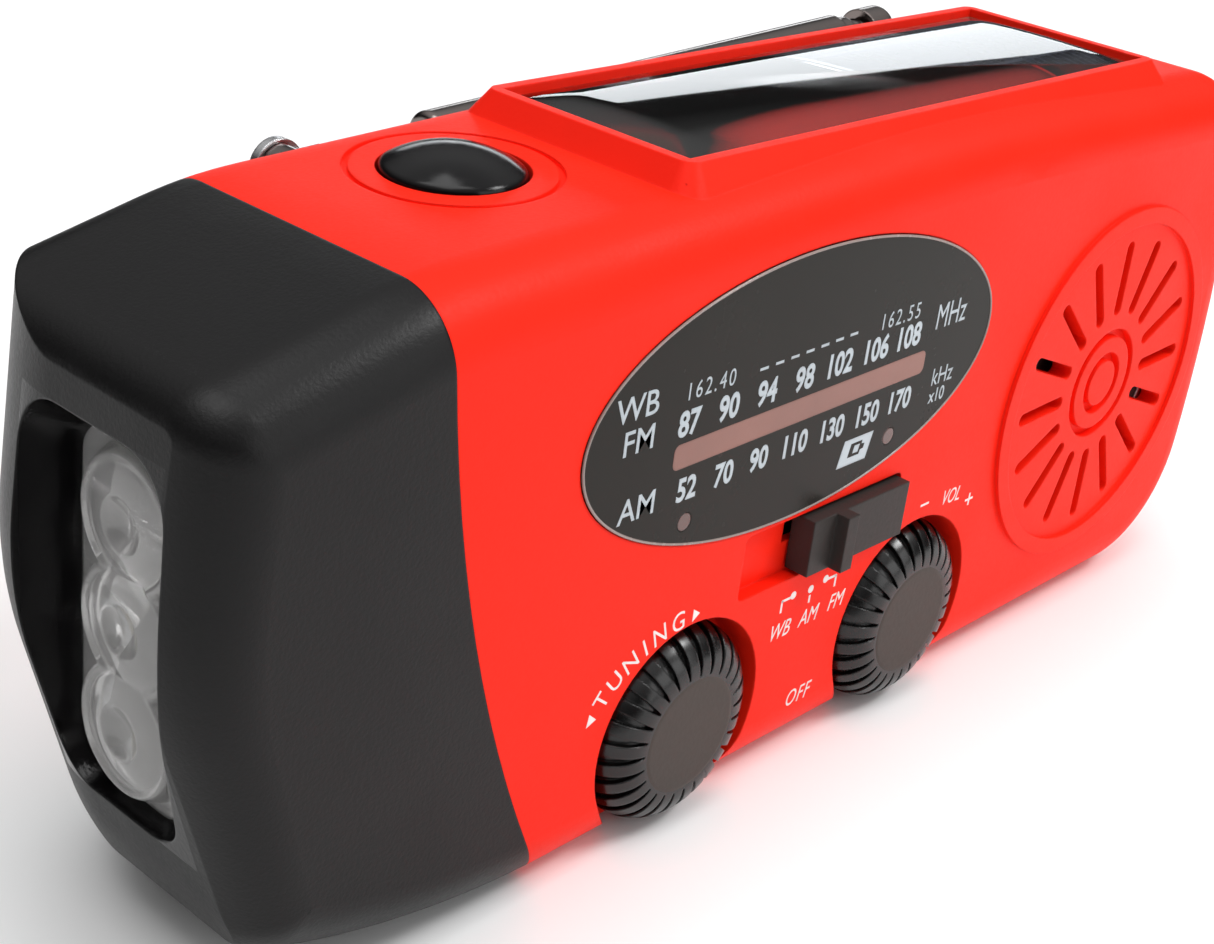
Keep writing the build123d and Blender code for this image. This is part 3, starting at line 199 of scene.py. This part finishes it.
def cell_material():
    """Blue-black silicon with thin silver grid lines and a dark gap at the left end."""
    g = moulded("silicon_cells", (0.006, 0.008, 0.022), 0.30, grain=900.0, depth=0.02, vary=0.3, specular=0.5)
    low, high = corners("solar_cells")
    pitch, stripe_share, bus_half = 1.0, 0.13, 0.25
    left_gap, right_gap, side_gap = 3.2, 1.2, 0.9
    across = g.axis("X")
    stripe = g.math("LESS_THAN", g.math("FRACT", g.math("DIVIDE", across, pitch * MM)), stripe_share)
    bus = 0.0
    for share in (0.25, 0.75):
        line = g.math("ABSOLUTE", g.math("SUBTRACT", g.axis("Y"), (low.y + (high.y - low.y) * share) * MM))
        bus = g.math("MAXIMUM", bus, g.math("LESS_THAN", line, bus_half * MM))
    lines = g.math("MAXIMUM", stripe, bus)
    edge_x = g.math("GREATER_THAN", across, (low.x + left_gap) * MM)
    within = g.math("MULTIPLY", edge_x, g.math("LESS_THAN", across, (high.x - right_gap) * MM))
    side = g.math("LESS_THAN", g.math("ABSOLUTE", g.axis("Y")), (high.y - side_gap) * MM)
    lines = g.math("MULTIPLY", lines, g.math("MULTIPLY", within, side))
    base = g.shader.inputs["Base Color"].links[0].from_socket
    shade = g.mix(g.math("MULTIPLY", within, side), (0.003, 0.003, 0.004, 1.0), base)
    silver = (0.10, 0.11, 0.14, 1.0)
    g.feed(g.shader.inputs["Base Color"], g.mix(g.math("MULTIPLY", lines, 0.75), shade, silver))
    return g.material


def clear(name, colour, rough, ior, wave):
    """Clear plastic with faint moulding waves."""
    g = Graph(name)
    s = g.shader.inputs
    slow = g.noise(wave, 2.0)
    g.feed(s["Base Color"], g.mix(slow, rgba(colour, 0.97), rgba(colour, 1.0)))
    g.feed(s["Roughness"], g.spread(slow, 0.3, 0.7, rough, rough + 0.02))
    s["Transmission Weight"].default_value = 1.0
    s["IOR"].default_value = ior
    bump = g.node("ShaderNodeBump")
    bump.inputs["Strength"].default_value = 0.08
    bump.inputs["Distance"].default_value = 0.05 * MM
    g.link(slow, bump.inputs["Height"])
    g.link(bump.outputs["Normal"], s["Normal"])
    return g.material


RED = moulded("red_satin", (0.95, 0.018, 0.005), 0.46, grain=3000.0, depth=0.3, vary=0.03, wear=0.15,
              specular=0.10).material
BLACK = head_material()
BLACK_MATTE = moulded("black_matte", (0.012, 0.0118, 0.012), 0.5, grain=2600.0, depth=0.5, wear=0.35,
                      specular=0.4).material
RUBBER = moulded("black_rubber", (0.0030, 0.0028, 0.0032), 0.16, grain=1500.0, depth=0.06, wear=0.05,
                 specular=0.22, edge=0.3).material
RIBS = moulded("knob_gloss", (0.0040, 0.0038, 0.0038), 0.24, grain=1800.0, depth=0.12, wear=0.2, specular=0.5,
               edge=0.22).material
KNOB_FACE = moulded("knob_face", (0.058, 0.047, 0.041), 0.5, grain=2600.0, depth=0.3, specular=0.2).material
SLIDER = moulded("slider_grey", (0.034, 0.029, 0.027), 0.5, grain=2200.0, depth=0.4, wear=0.2,
                 specular=0.2).material
DIAL = moulded("smoked_window", (0.020, 0.018, 0.0155), 0.24, grain=700.0, depth=0.01, vary=0.05,
               specular=0.10, edge=0.2).material
DIAL_BAR = moulded("scale_bar", (0.26, 0.115, 0.090), 0.4, grain=2000.0, depth=0.05, vary=0.12).material
INK_GREY = moulded("grey_ink", (0.50, 0.56, 0.60), 0.5, grain=5000.0, depth=0.1, vary=0.06).material
INK_WHITE = moulded("white_ink", (0.95, 0.84, 0.82), 0.5, grain=5000.0, depth=0.1, vary=0.05).material
# the light brown colour of the ring around the dial window is a painted highlight of the window's chamfer
# catching light
WINDOW_EDGE_HIGHLIGHT = moulded("window_edge_painted_highlight", (0.30, 0.24, 0.22), 0.25, grain=2000.0, depth=0.05, coat=0.4).material
RED_LENS = moulded("red_lens", (0.085, 0.030, 0.022), 0.2, grain=2000.0, depth=0.05, coat=0.5).material
CELLS = cell_material()
EPOXY = clear("clear_epoxy", (0.94, 0.96, 0.98), 0.015, 1.52, 60.0)
ACRYLIC = moulded("clear_acrylic", (0.93, 0.92, 0.91), 0.03, grain=260.0, depth=0.02, vary=0.05, ior=1.49,
                  transmission=0.78).material
REFLECTOR = moulded("plated_reflector", (0.86, 0.87, 0.88), 0.10, grain=900.0, depth=0.05, metallic=1.0,
                    vary=0.03).material
LED = moulded("led_epoxy", (0.85, 0.80, 0.55), 0.15, grain=900.0, depth=0.05, coat=0.6).material
CHROME = moulded("dark_chrome", (0.20, 0.17, 0.16), 0.12, grain=1200.0, depth=0.04, metallic=1.0, wear=0.2,
                 stretch=(0.1, 1, 1)).material
STEEL = moulded("plated_steel", (0.56, 0.56, 0.57), 0.28, grain=1800.0, depth=0.15, metallic=1.0, wear=0.3,
                stretch=(0.3, 1, 1)).material
BRASS = moulded("turned_brass", (0.62, 0.44, 0.18), 0.25, grain=1800.0, depth=0.1, metallic=1.0,
                wear=0.2).material
NYLON = moulded("natural_nylon", (0.78, 0.77, 0.70), 0.42, grain=1600.0, depth=0.2, vary=0.05,
                wear=0.2).material
BOARD = moulded("solder_mask", (0.02, 0.15, 0.06), 0.28, grain=1200.0, depth=0.1, vary=0.2, coat=0.3).material
PARTS = moulded("component_black", (0.03, 0.03, 0.033), 0.4, grain=2200.0, depth=0.3, vary=0.2).material
PAPER = moulded("cone_paper", (0.035, 0.033, 0.031), 0.7, grain=1500.0, depth=0.6, vary=0.2).material
FERRITE = moulded("ferrite", (0.07, 0.066, 0.064), 0.6, grain=1500.0, depth=0.5, vary=0.2).material
COPPER = moulded("copper_wire", (0.58, 0.25, 0.10), 0.3, grain=2500.0, depth=0.5, metallic=1.0,
                 stretch=(4, 0.2, 0.2)).material
BATTERY = moulded("battery_wrap", (0.05, 0.15, 0.36), 0.3, grain=500.0, depth=0.1, vary=0.1,
                  coat=0.3).material
POINTER = moulded("pointer_red", (0.70, 0.08, 0.04), 0.4, grain=2200.0, depth=0.2, wear=0.2).material

MATERIALS = {
    "front_shell": RED, "rear_shell": RED, "head_shroud": BLACK, "crank_arm": BLACK_MATTE,
    "grip_sleeve": BLACK_MATTE, "band_slider": SLIDER, "lamp_lens": ACRYLIC, "lamp_reflector": REFLECTOR,
    "lamp_leds": LED, "light_button": RUBBER, "port_cover": RUBBER, "solar_cells": CELLS,
    "solar_cover": EPOXY, "dial_window": DIAL, "indicator_lights": RED_LENS, "dial_pointer": POINTER,
    "tuning_knob": RIBS, "volume_knob": RIBS, "speaker_cone": PAPER, "ferrite_rod": FERRITE,
    "ferrite_coil": COPPER, "battery": BATTERY, "crank_bush": BRASS, "dynamo_pinion": BRASS,
}
for group, material in (
    (("lamp_board", "button_board", "main_board", "port_board", "solar_board"), BOARD),
    (("button_switch", "tuning_capacitor", "volume_pot", "band_switch", "board_chips"), PARTS),
    (("tuning_shaft", "volume_shaft", "drive_gear", "idler_gear"), NYLON),
    (("antenna_tube_1", "antenna_tube_2", "antenna_tube_3", "antenna_tip"), CHROME),
):
    for node in group:
        MATERIALS[node] = material
for node, cad in NODE.items():
    cad.data.materials.clear()
    cad.data.materials.append(MATERIALS.get(node, STEEL))


# ---------------------------------------------------------------- piece helpers
def finish_piece(mesh, name, material, body):
    """Puts a mesh in the scene as a piece that rides on a CAD body."""
    mesh.name = name
    mesh.materials.clear()
    mesh.materials.append(material)
    piece = bpy.data.objects.new(name, mesh)
    bpy.context.scene.collection.objects.link(piece)
    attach(piece, body)
    return piece


def mesh_piece(bm, name, material, body, smooth=False):
    """Turns a finished bmesh into a piece."""
    bmesh.ops.remove_doubles(bm, verts=bm.verts, dist=1e-7)
    bmesh.ops.recalc_face_normals(bm, faces=bm.faces)
    mesh = bpy.data.meshes.new(name)
    bm.to_mesh(mesh)
    bm.free()
    for face in mesh.polygons:
        face.use_smooth = smooth
    return finish_piece(mesh, name, material, body)


def word(text, size, bold=0.0, shear=0.0, spacing=1.0, width=1.0):
    """Mesh of one printed word about the origin of the front view, in millimetres."""
    curve = bpy.data.curves.new("word", "FONT")
    curve.body = text
    curve.size = size
    curve.offset = bold
    curve.shear = shear
    curve.space_character = spacing
    curve.align_x = "CENTER"
    curve.align_y = "CENTER"
    curve.resolution_u = 4
    curve.extrude = 0.01
    holder = bpy.data.objects.new("word", curve)
    mesh = bpy.data.meshes.new_from_object(holder)
    bpy.data.objects.remove(holder)
    bpy.data.curves.remove(curve)
    mesh.transform(Matrix.Diagonal((width, 1, 1, 1)))
    return mesh


def on_front(x, y, z, turn=0.0):
    """Takes the front view's millimetres, turned by turn degrees, to the scene's metres."""
    place = Matrix.Translation((x * MM, y * MM, z * MM))
    upright = Matrix.Rotation(-radians(turn), 4, "Y") @ Matrix.Rotation(radians(90), 4, "X")
    return place @ upright @ Matrix.Scale(MM, 4)


def printing(name, words, y, material, body="root"):
    """One piece made of several printed words: (text, x, z, size, settings)."""
    bm = bmesh.new()
    for text, x, z, size, settings in words:
        look = dict(settings)
        turn = look.pop("turn", 0.0)
        mesh = word(text, size, **look)
        mesh.transform(on_front(x, y, z, turn))
        bm.from_mesh(mesh)
        bpy.data.meshes.remove(mesh)
    mesh = bpy.data.meshes.new(name)
    bm.to_mesh(mesh)
    bm.free()
    return finish_piece(mesh, name, material, body)


def plate(bm, outline, y, thick=0.02):
    """Thin printed patch: a closed outline of (x, z) in millimetres at depth y."""
    front = [bm.verts.new((x * MM, y * MM, z * MM)) for x, z in outline]
    face = bm.faces.new(front)
    solid = bmesh.ops.extrude_face_region(bm, geom=[face])
    moved = [item for item in solid["geom"] if isinstance(item, bmesh.types.BMVert)]
    bmesh.ops.translate(bm, verts=moved, vec=(0, thick * MM, 0))


def rounded_bar(x0, z0, x1, z1, height, steps=8):
    """Outline of a bar with round corners between two end points of its middle line."""
    angle = atan2(z1 - z0, x1 - x0)
    r = height * 0.28
    half = height / 2
    points = []
    length = sqrt((x1 - x0) ** 2 + (z1 - z0) ** 2)
    bends = ((length - r, half - r, 0), (r, half - r, 90), (r, r - half, 180), (length - r, r - half, 270))
    for cx, cz, start in bends:
        for step in range(steps + 1):
            a = radians(start + 90 * step / steps)
            u, v = cx + r * cos(a), cz + r * sin(a)
            points.append((x0 + u * cos(angle) - v * sin(angle), z0 + u * sin(angle) + v * cos(angle)))
    return points


def box_outline(x, z, width, height):
    """Outline of an upright rectangle about (x, z)."""
    x0, x1, z0, z1 = x - width / 2, x + width / 2, z - height / 2, z + height / 2
    return [(x0, z0), (x1, z0), (x1, z1), (x0, z1)]


# ---------------------------------------------------------------- dial
PRINT_Y = WINDOW_Y - 0.015
OVER_PRINT_Y = PRINT_Y - 0.006
TOP_PRINT_Y = PRINT_Y - 0.010
FM_SIZE, AM_SIZE = 2.7, 2.55
DIGIT_WIDTH = 0.84
scale_words = []
for text, x, z in (("87", -21.2, 35.3), ("90", -16.9, 35.4), ("94", -12.6, 35.5), ("98", -8.2, 35.55),
                   ("102", -4.0, 35.7), ("106", 0.6, 35.8), ("108", 4.9, 35.9)):
    scale_words.append((text, x, z, FM_SIZE, {"bold": 0.085, "width": DIGIT_WIDTH}))
for text, x, z in (("52", -20.5, 30.0), ("70", -16.4, 30.0), ("90", -12.4, 30.1), ("110", -8.2, 30.15),
                   ("130", -3.6, 30.2), ("150", 0.9, 30.3), ("170", 5.2, 30.4)):
    scale_words.append((text, x, z, AM_SIZE, {"bold": 0.08, "width": DIGIT_WIDTH}))
printing("dial_numbers", scale_words, PRINT_Y, INK_GREY)

printing("dial_labels", [
    ("WB", -26.9, 37.9, 2.7, {"bold": 0.02}),
    ("FM", -26.4, 35.3, 2.7, {"bold": 0.02}),
    ("AM", -25.7, 30.0, 2.7, {"bold": 0.02}),
    ("162.40", -19.3, 37.75, 1.9, {"bold": 0.0, "spacing": 1.25, "width": 0.85}),
    ("162.55", 3.3, 38.0, 1.9, {"bold": 0.0, "spacing": 1.25, "width": 0.85}),
    ("MHz", 10.6, 36.7, 3.1, {"bold": 0.0, "width": 0.72}),
    ("kHz", 11.0, 31.3, 2.2, {"bold": 0.0, "width": 0.85}),
    ("x10", 10.7, 29.6, 1.7, {"bold": 0.02, "width": 0.85}),
], PRINT_Y, INK_GREY)

# row of dashes and the light patch of the battery sign
marks = bmesh.new()
for step in range(7):
    plate(marks, box_outline(-13.4 + step * 1.78, 37.62 + step * 0.05, 0.95, 0.22), PRINT_Y)
plate(marks, [(-2.0, 26.35), (1.75, 26.35), (2.35, 28.6), (-1.4, 28.6)], PRINT_Y)
mesh_piece(marks, "dial_marks", INK_GREY, "root")

# dark battery outline with its terminal, printed on the light patch
sign = bmesh.new()
plate(sign, [(-0.75, 27.0), (0.75, 27.0), (0.85, 27.35), (1.25, 27.4), (1.35, 27.8), (0.95, 27.85),
             (1.0, 28.15), (-0.45, 28.15)], OVER_PRINT_Y)
mesh_piece(sign, "battery_sign", DIAL, "root")
level = bmesh.new()
plate(level, [(-0.15, 27.25), (0.55, 27.25), (0.72, 27.9), (0.02, 27.9)], TOP_PRINT_Y)
mesh_piece(level, "battery_level", INK_GREY, "root")

bar = bmesh.new()
plate(bar, rounded_bar(-22.4, 32.85, 7.9, 33.25, 2.0), PRINT_Y)
mesh_piece(bar, "dial_bar", DIAL_BAR, "root")


def ellipse_ring(name, rx, rz, y, section, material, steps=160, sides=8):
    """Thin elliptical ring with a round section, coloured by the material it is given."""
    bm = bmesh.new()
    rings = []
    for step in range(steps):
        a = 2 * pi * step / steps
        out = Vector((cos(a) * rz, 0, sin(a) * rx)).normalized()
        centre = Vector((DIAL_X + rx * cos(a), y, DIAL_Z + rz * sin(a)))
        ring = []
        for side in range(sides):
            b = 2 * pi * side / sides
            bulge = out * section * cos(b) + Vector((0, section * sin(b), 0))
            ring.append(bm.verts.new((centre + bulge) * MM))
        rings.append(ring)
    for step in range(steps):
        first, second = rings[step], rings[(step + 1) % steps]
        for side in range(sides):
            after = (side + 1) % sides
            bm.faces.new((first[side], first[after], second[after], second[side]))
    mesh_piece(bm, name, material, "root", smooth=True)


# pale ring just inside the window's border: a painted highlight standing for light caught by the window's
# chamfer
ellipse_ring("dial_rim_painted_highlight", DIAL_RX - 0.06, DIAL_RZ - 0.06, WINDOW_Y + 0.02, 0.11, WINDOW_EDGE_HIGHLIGHT)


# ---------------------------------------------------------------- knob faces
def turned_disc(name, centre, profile, material, body, steps=72):
    """Round plate turned about the knob's axis from a (radius, y) profile."""
    bm = bmesh.new()
    rings = []
    for radius, y in profile:
        if radius == 0:
            rings.append([bm.verts.new((centre.x * MM, y * MM, centre.z * MM))])
            continue
        ring = []
        for k in range(steps):
            a = 2 * pi * k / steps
            x, z = centre.x + radius * cos(a), centre.z + radius * sin(a)
            ring.append(bm.verts.new((x * MM, y * MM, z * MM)))
        rings.append(ring)
    for inner, outer in zip(rings, rings[1:]):
        for k in range(steps):
            after = (k + 1) % steps
            if len(inner) == 1:
                bm.faces.new((inner[0], outer[k], outer[after]))
            elif len(outer) == 1:
                bm.faces.new((inner[k], outer[0], inner[after]))
            else:
                bm.faces.new((inner[k], outer[k], outer[after], inner[after]))
    mesh_piece(bm, name, material, body)


# flat face with a softened rim, sunk a little into the knob
FACE_R, RIM_R, FLAT_R = 5.0, 4.95, 4.6
FACE_FRONT_Y, RIM_Y, FACE_BACK_Y = KNOB_FRONT_Y - 0.05, KNOB_FRONT_Y + 0.02, KNOB_FRONT_Y + 0.3
FACE_PROFILE = [(0, FACE_FRONT_Y), (FLAT_R, FACE_FRONT_Y), (RIM_R, RIM_Y), (FACE_R, FACE_BACK_Y),
                (0, FACE_BACK_Y)]
for body, centre in (("tuning", TUNING), ("volume", VOLUME)):
    turned_disc(body + "_knob_face", centre, FACE_PROFILE, KNOB_FACE, body)


# ---------------------------------------------------------------- lettering on the case
CASE_Y = FRONT_Y - 0.012
OVER_CASE_Y = CASE_Y - 0.002
LETTER_SIZE = 2.1
arc_words = []
for letter, x, z, turn in (("T", -26.7, 14.7, 52), ("U", -25.45, 15.85, 43), ("N", -23.95, 16.85, 33),
                           ("I", -22.5, 17.55, 25), ("N", -21.0, 18.1, 16), ("G", -19.0, 18.5, 6)):
    arc_words.append((letter, x, z, 2.35, {"turn": turn, "width": 0.9}))
knob_words = [
    ("VOL", 16.5, 18.6, 2.0, {"shear": 0.25, "width": 0.75, "turn": -4}),
    ("OFF", -1.8, 5.6, LETTER_SIZE, {"shear": 0.3, "width": 0.8, "spacing": 1.15}),
    ("WB", -5.9, 13.1, LETTER_SIZE, {"shear": 0.3, "width": 0.8}),
    ("AM", -2.2, 13.2, LETTER_SIZE, {"shear": 0.3, "width": 0.8}),
    ("FM", 1.4, 13.4, LETTER_SIZE, {"shear": 0.3, "width": 0.8}),
]
printing("case_lettering", arc_words + knob_words, CASE_Y, INK_WHITE)

# arrows at both ends of TUNING, minus and plus of VOL
signs = bmesh.new()
plate(signs, [(-28.1, 12.9), (-27.1, 13.3), (-27.9, 14.0)], CASE_Y)
plate(signs, [(-17.4, 18.0), (-16.6, 18.55), (-17.4, 19.1)], CASE_Y)
plate(signs, box_outline(12.5, 19.0, 1.2, 0.22), CASE_Y)
plate(signs, box_outline(19.7, 17.4, 1.2, 0.22), CASE_Y)
plate(signs, box_outline(19.7, 17.4, 0.22, 1.2), OVER_CASE_Y)
# small switch position symbols above WB, AM and FM
plate(signs, box_outline(-5.5, 15.9, 1.3, 0.24), CASE_Y)
plate(signs, box_outline(-6.1, 15.4, 0.24, 1.1), CASE_Y)
plate(signs, box_outline(0.3, 16.0, 1.3, 0.24), CASE_Y)
plate(signs, box_outline(0.9, 15.5, 0.24, 1.1), CASE_Y)
plate(signs, box_outline(-2.4, 14.9, 0.24, 0.7), CASE_Y)
for x, z in ((-4.7, 16.0), (-2.4, 15.8), (-0.5, 16.1)):
    plate(signs, [(x + 0.36 * cos(pi * k / 8), z + 0.36 * sin(pi * k / 8)) for k in range(16)], OVER_CASE_Y)
mesh_piece(signs, "case_signs", INK_WHITE, "root")


# ---------------------------------------------------------------- domed clear cover over the solar cells
EDGE_DROP, CROWN_RISE = 0.55, 0.45
EDGE_REACH, EDGE_POWER = 4.2, 2.2
FALL_X, FALL_Y = 0.10, 0.42


def border_of(grid):
    """Corner-to-corner loop of the outer points of a grid."""
    far_side = [row[-1] for row in reversed(grid[:-1])]
    return [row[0] for row in grid] + grid[-1][1:] + far_side + list(reversed(grid[0][1:-1]))


def close_below(bm, grid, flatten):
    """Joins neighbours of a grid into a skin, then adds its sides and its flat back."""
    for first, second in zip(grid, grid[1:]):
        for k in range(len(first) - 1):
            bm.faces.new((first[k], second[k], second[k + 1], first[k + 1]))
    border = border_of(grid)
    back = [bm.verts.new(flatten(v.co)) for v in border]
    for k in range(len(border)):
        after = (k + 1) % len(border)
        bm.faces.new((border[k], back[k], back[after], border[after]))
    bm.faces.new(back)


def spaced(count, half):
    """Places from -half to half, closer together towards both ends."""
    places = []
    for k in range(count + 1):
        share = k / count * 2 - 1
        places.append(half * abs(share) ** 0.55 * (1 if share > 0 else -1))
    return places


def domed_cover():
    """Clear cover whose top curves down to its border like poured resin."""
    low, high = PANEL_LOW, PANEL_HIGH
    half_x, half_y = (high.x - low.x) / 2, (high.y - low.y) / 2
    centre = (low + high) / 2
    edge_z, top_z = high.z - EDGE_DROP, high.z + CROWN_RISE
    bm = bmesh.new()
    grid = []
    for x in spaced(72, half_x):
        row = []
        for y in spaced(36, half_y):
            near_x = min(1.0, (half_x - abs(x)) / EDGE_REACH)
            near_y = min(1.0, (half_y - abs(y)) / EDGE_REACH)
            lift = (1 - (1 - near_x) ** EDGE_POWER) * (1 - (1 - near_y) ** EDGE_POWER)
            crown = 1 - FALL_X * (x / half_x) ** 2 - FALL_Y * (y / half_y) ** 2
            z = edge_z + (top_z - edge_z) * lift * crown
            row.append(bm.verts.new(((centre.x + x) * MM, (centre.y + y) * MM, z * MM)))
        grid.append(row)
    cell_top = (corners("solar_cells")[1].z + 0.02) * MM
    close_below(bm, grid, lambda place: (place.x, place.y, cell_top))
    piece = mesh_piece(bm, "solar_dome", EPOXY, "root", smooth=True)
    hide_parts("solar_cover")


domed_cover()


# ---------------------------------------------------------------- lamp optic
LENS_SPOTS = (-7.5, 0.0, 7.5)
LENS_R, LENS_RISE = 5.0, 1.55
RING_R, RING_HALF, RING_RISE = 4.55, 0.45, 0.5
DIMPLE_R, DIMPLE_DEPTH = 1.9, 0.9
PLATE_RISE = 0.25


def lens_height(y, z):
    """Height of the optic above its plate: three merged domes with a ring and a dimple each."""
    r = min(sqrt(y * y + (z - spot) ** 2) for spot in LENS_SPOTS)
    height = PLATE_RISE
    if r < LENS_R:
        height += LENS_RISE * sqrt(max(0.0, 1 - (r / LENS_R) ** 2))
    if abs(r - RING_R) < RING_HALF:
        height += RING_RISE * cos((r - RING_R) / RING_HALF * pi / 2)
    if r < DIMPLE_R:
        height -= DIMPLE_DEPTH * (1 - (r / DIMPLE_R) ** 2)
    return height


def lamp_optic():
    """Clear plate with three merged collimator lenses in front of the lamps."""
    low, high = corners("lamp_lens")
    plate_x, back_x = high.x - 1.05, (high.x - 0.05) * MM
    centre = (low + high) / 2
    half_y, half_z = (high.y - low.y) / 2, (high.z - low.z) / 2
    count_y, count_z = 84, 160
    bm = bmesh.new()
    grid = []
    for i in range(count_z + 1):
        z = -half_z + 2 * half_z * i / count_z
        row = []
        for k in range(count_y + 1):
            y = -half_y + 2 * half_y * k / count_y
            x = plate_x - lens_height(y, z)
            row.append(bm.verts.new((x * MM, (centre.y + y) * MM, (centre.z + z) * MM)))
        grid.append(row)
    close_below(bm, grid, lambda place: (back_x, place.y, place.z))
    piece = mesh_piece(bm, "lamp_optic", ACRYLIC, "root", smooth=True)
    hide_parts("lamp_lens")


lamp_optic()


# ---------------------------------------------------------------- floor, light and camera
FLOOR_HALF, FLOOR_Z = 6.0, -0.0001


def pale_floor():
    """Plain pale surface that the radio stands on."""
    bm = bmesh.new()
    bmesh.ops.create_grid(bm, x_segments=1, y_segments=1, size=FLOOR_HALF)
    mesh = bpy.data.meshes.new("floor")
    bm.to_mesh(mesh)
    bm.free()
    g = Graph("floor_paint")
    slow = g.noise(3.0, 2.0)
    g.feed(g.shader.inputs["Base Color"], g.mix(slow, (0.90, 0.90, 0.90, 1.0), (0.92, 0.92, 0.92, 1.0)))
    g.feed(g.shader.inputs["Roughness"], g.spread(slow, 0.3, 0.7, 0.75, 0.85))
    mesh.materials.append(g.material)
    floor = bpy.data.objects.new("floor", mesh)
    floor.location.z = FLOOR_Z
    bpy.context.scene.collection.objects.link(floor)


def softbox(name, place, aim, width, height, watts, colour=(1, 1, 1)):
    """Rectangular light, in metres and watts, turned towards aim."""
    data = bpy.data.lights.new(name, "AREA")
    data.shape = "RECTANGLE"
    data.size, data.size_y = width, height
    data.energy = watts
    data.color = colour
    lamp = bpy.data.objects.new(name, data)
    lamp.location = place
    lamp.rotation_mode = "QUATERNION"
    lamp.rotation_quaternion = (Vector(aim) - Vector(place)).to_track_quat("-Z", "Y")
    bpy.context.scene.collection.objects.link(lamp)


pale_floor()
AIM = (0.0, 0.0, 0.025)
# the panel light is a low strip that shows in the solar cover
softbox("key", (0.36, -0.32, 0.60), AIM, 0.22, 0.16, 2.3)
softbox("front_fill", (0.25, -0.80, 0.30), AIM, 0.7, 0.5, 2.1)
PANEL_AIM = (0.0, 0.0, 0.05)
COOL_WHITE = (0.93, 0.97, 1.0)
softbox("panel_light", (0.655, 0.590, 0.225), PANEL_AIM, 0.62, 0.115, 0.62, COOL_WHITE)
softbox("top", (-0.15, 0.0, 0.85), AIM, 0.6, 0.6, 3.8)

# sky that is dim near the horizon and bright overhead
world = bpy.data.worlds.new("studio")
world.use_nodes = True
backdrop = world.node_tree.nodes["Background"]
backdrop.inputs["Color"].default_value = (1, 1, 1, 1)
direction = world.node_tree.nodes.new("ShaderNodeTexCoord")
height = world.node_tree.nodes.new("ShaderNodeSeparateXYZ")
sky = world.node_tree.nodes.new("ShaderNodeMapRange")
for socket, value in (("From Min", 0.30), ("From Max", 0.75), ("To Min", 0.03), ("To Max", 0.75)):
    sky.inputs[socket].default_value = value
world.node_tree.links.new(direction.outputs["Generated"], height.inputs[0])
world.node_tree.links.new(height.outputs["Z"], sky.inputs["Value"])
world.node_tree.links.new(sky.outputs["Result"], backdrop.inputs["Strength"])
bpy.context.scene.world = world
bpy.context.scene.view_settings.view_transform = "Standard"

# camera at the photograph's viewing angle, solved from the radio's straight edges and ellipses
camera = bpy.data.cameras.new("camera")
camera.sensor_width = 36.0
camera.lens = 60.26
camera.clip_start = 0.01
view = bpy.data.objects.new("camera", camera)
right = Vector((0.679067, -0.725936, 0.109021))
up = Vector((0.251681, 0.369752, 0.894394))
back = Vector((-0.689583, -0.579914, 0.433791))
eye = Vector((-122.805, -93.506, 92.650)) * MM
view.matrix_world = Matrix.Translation(eye) @ Matrix((right, up, back)).transposed().to_4x4()
bpy.context.scene.collection.objects.link(view)
bpy.context.scene.camera = view
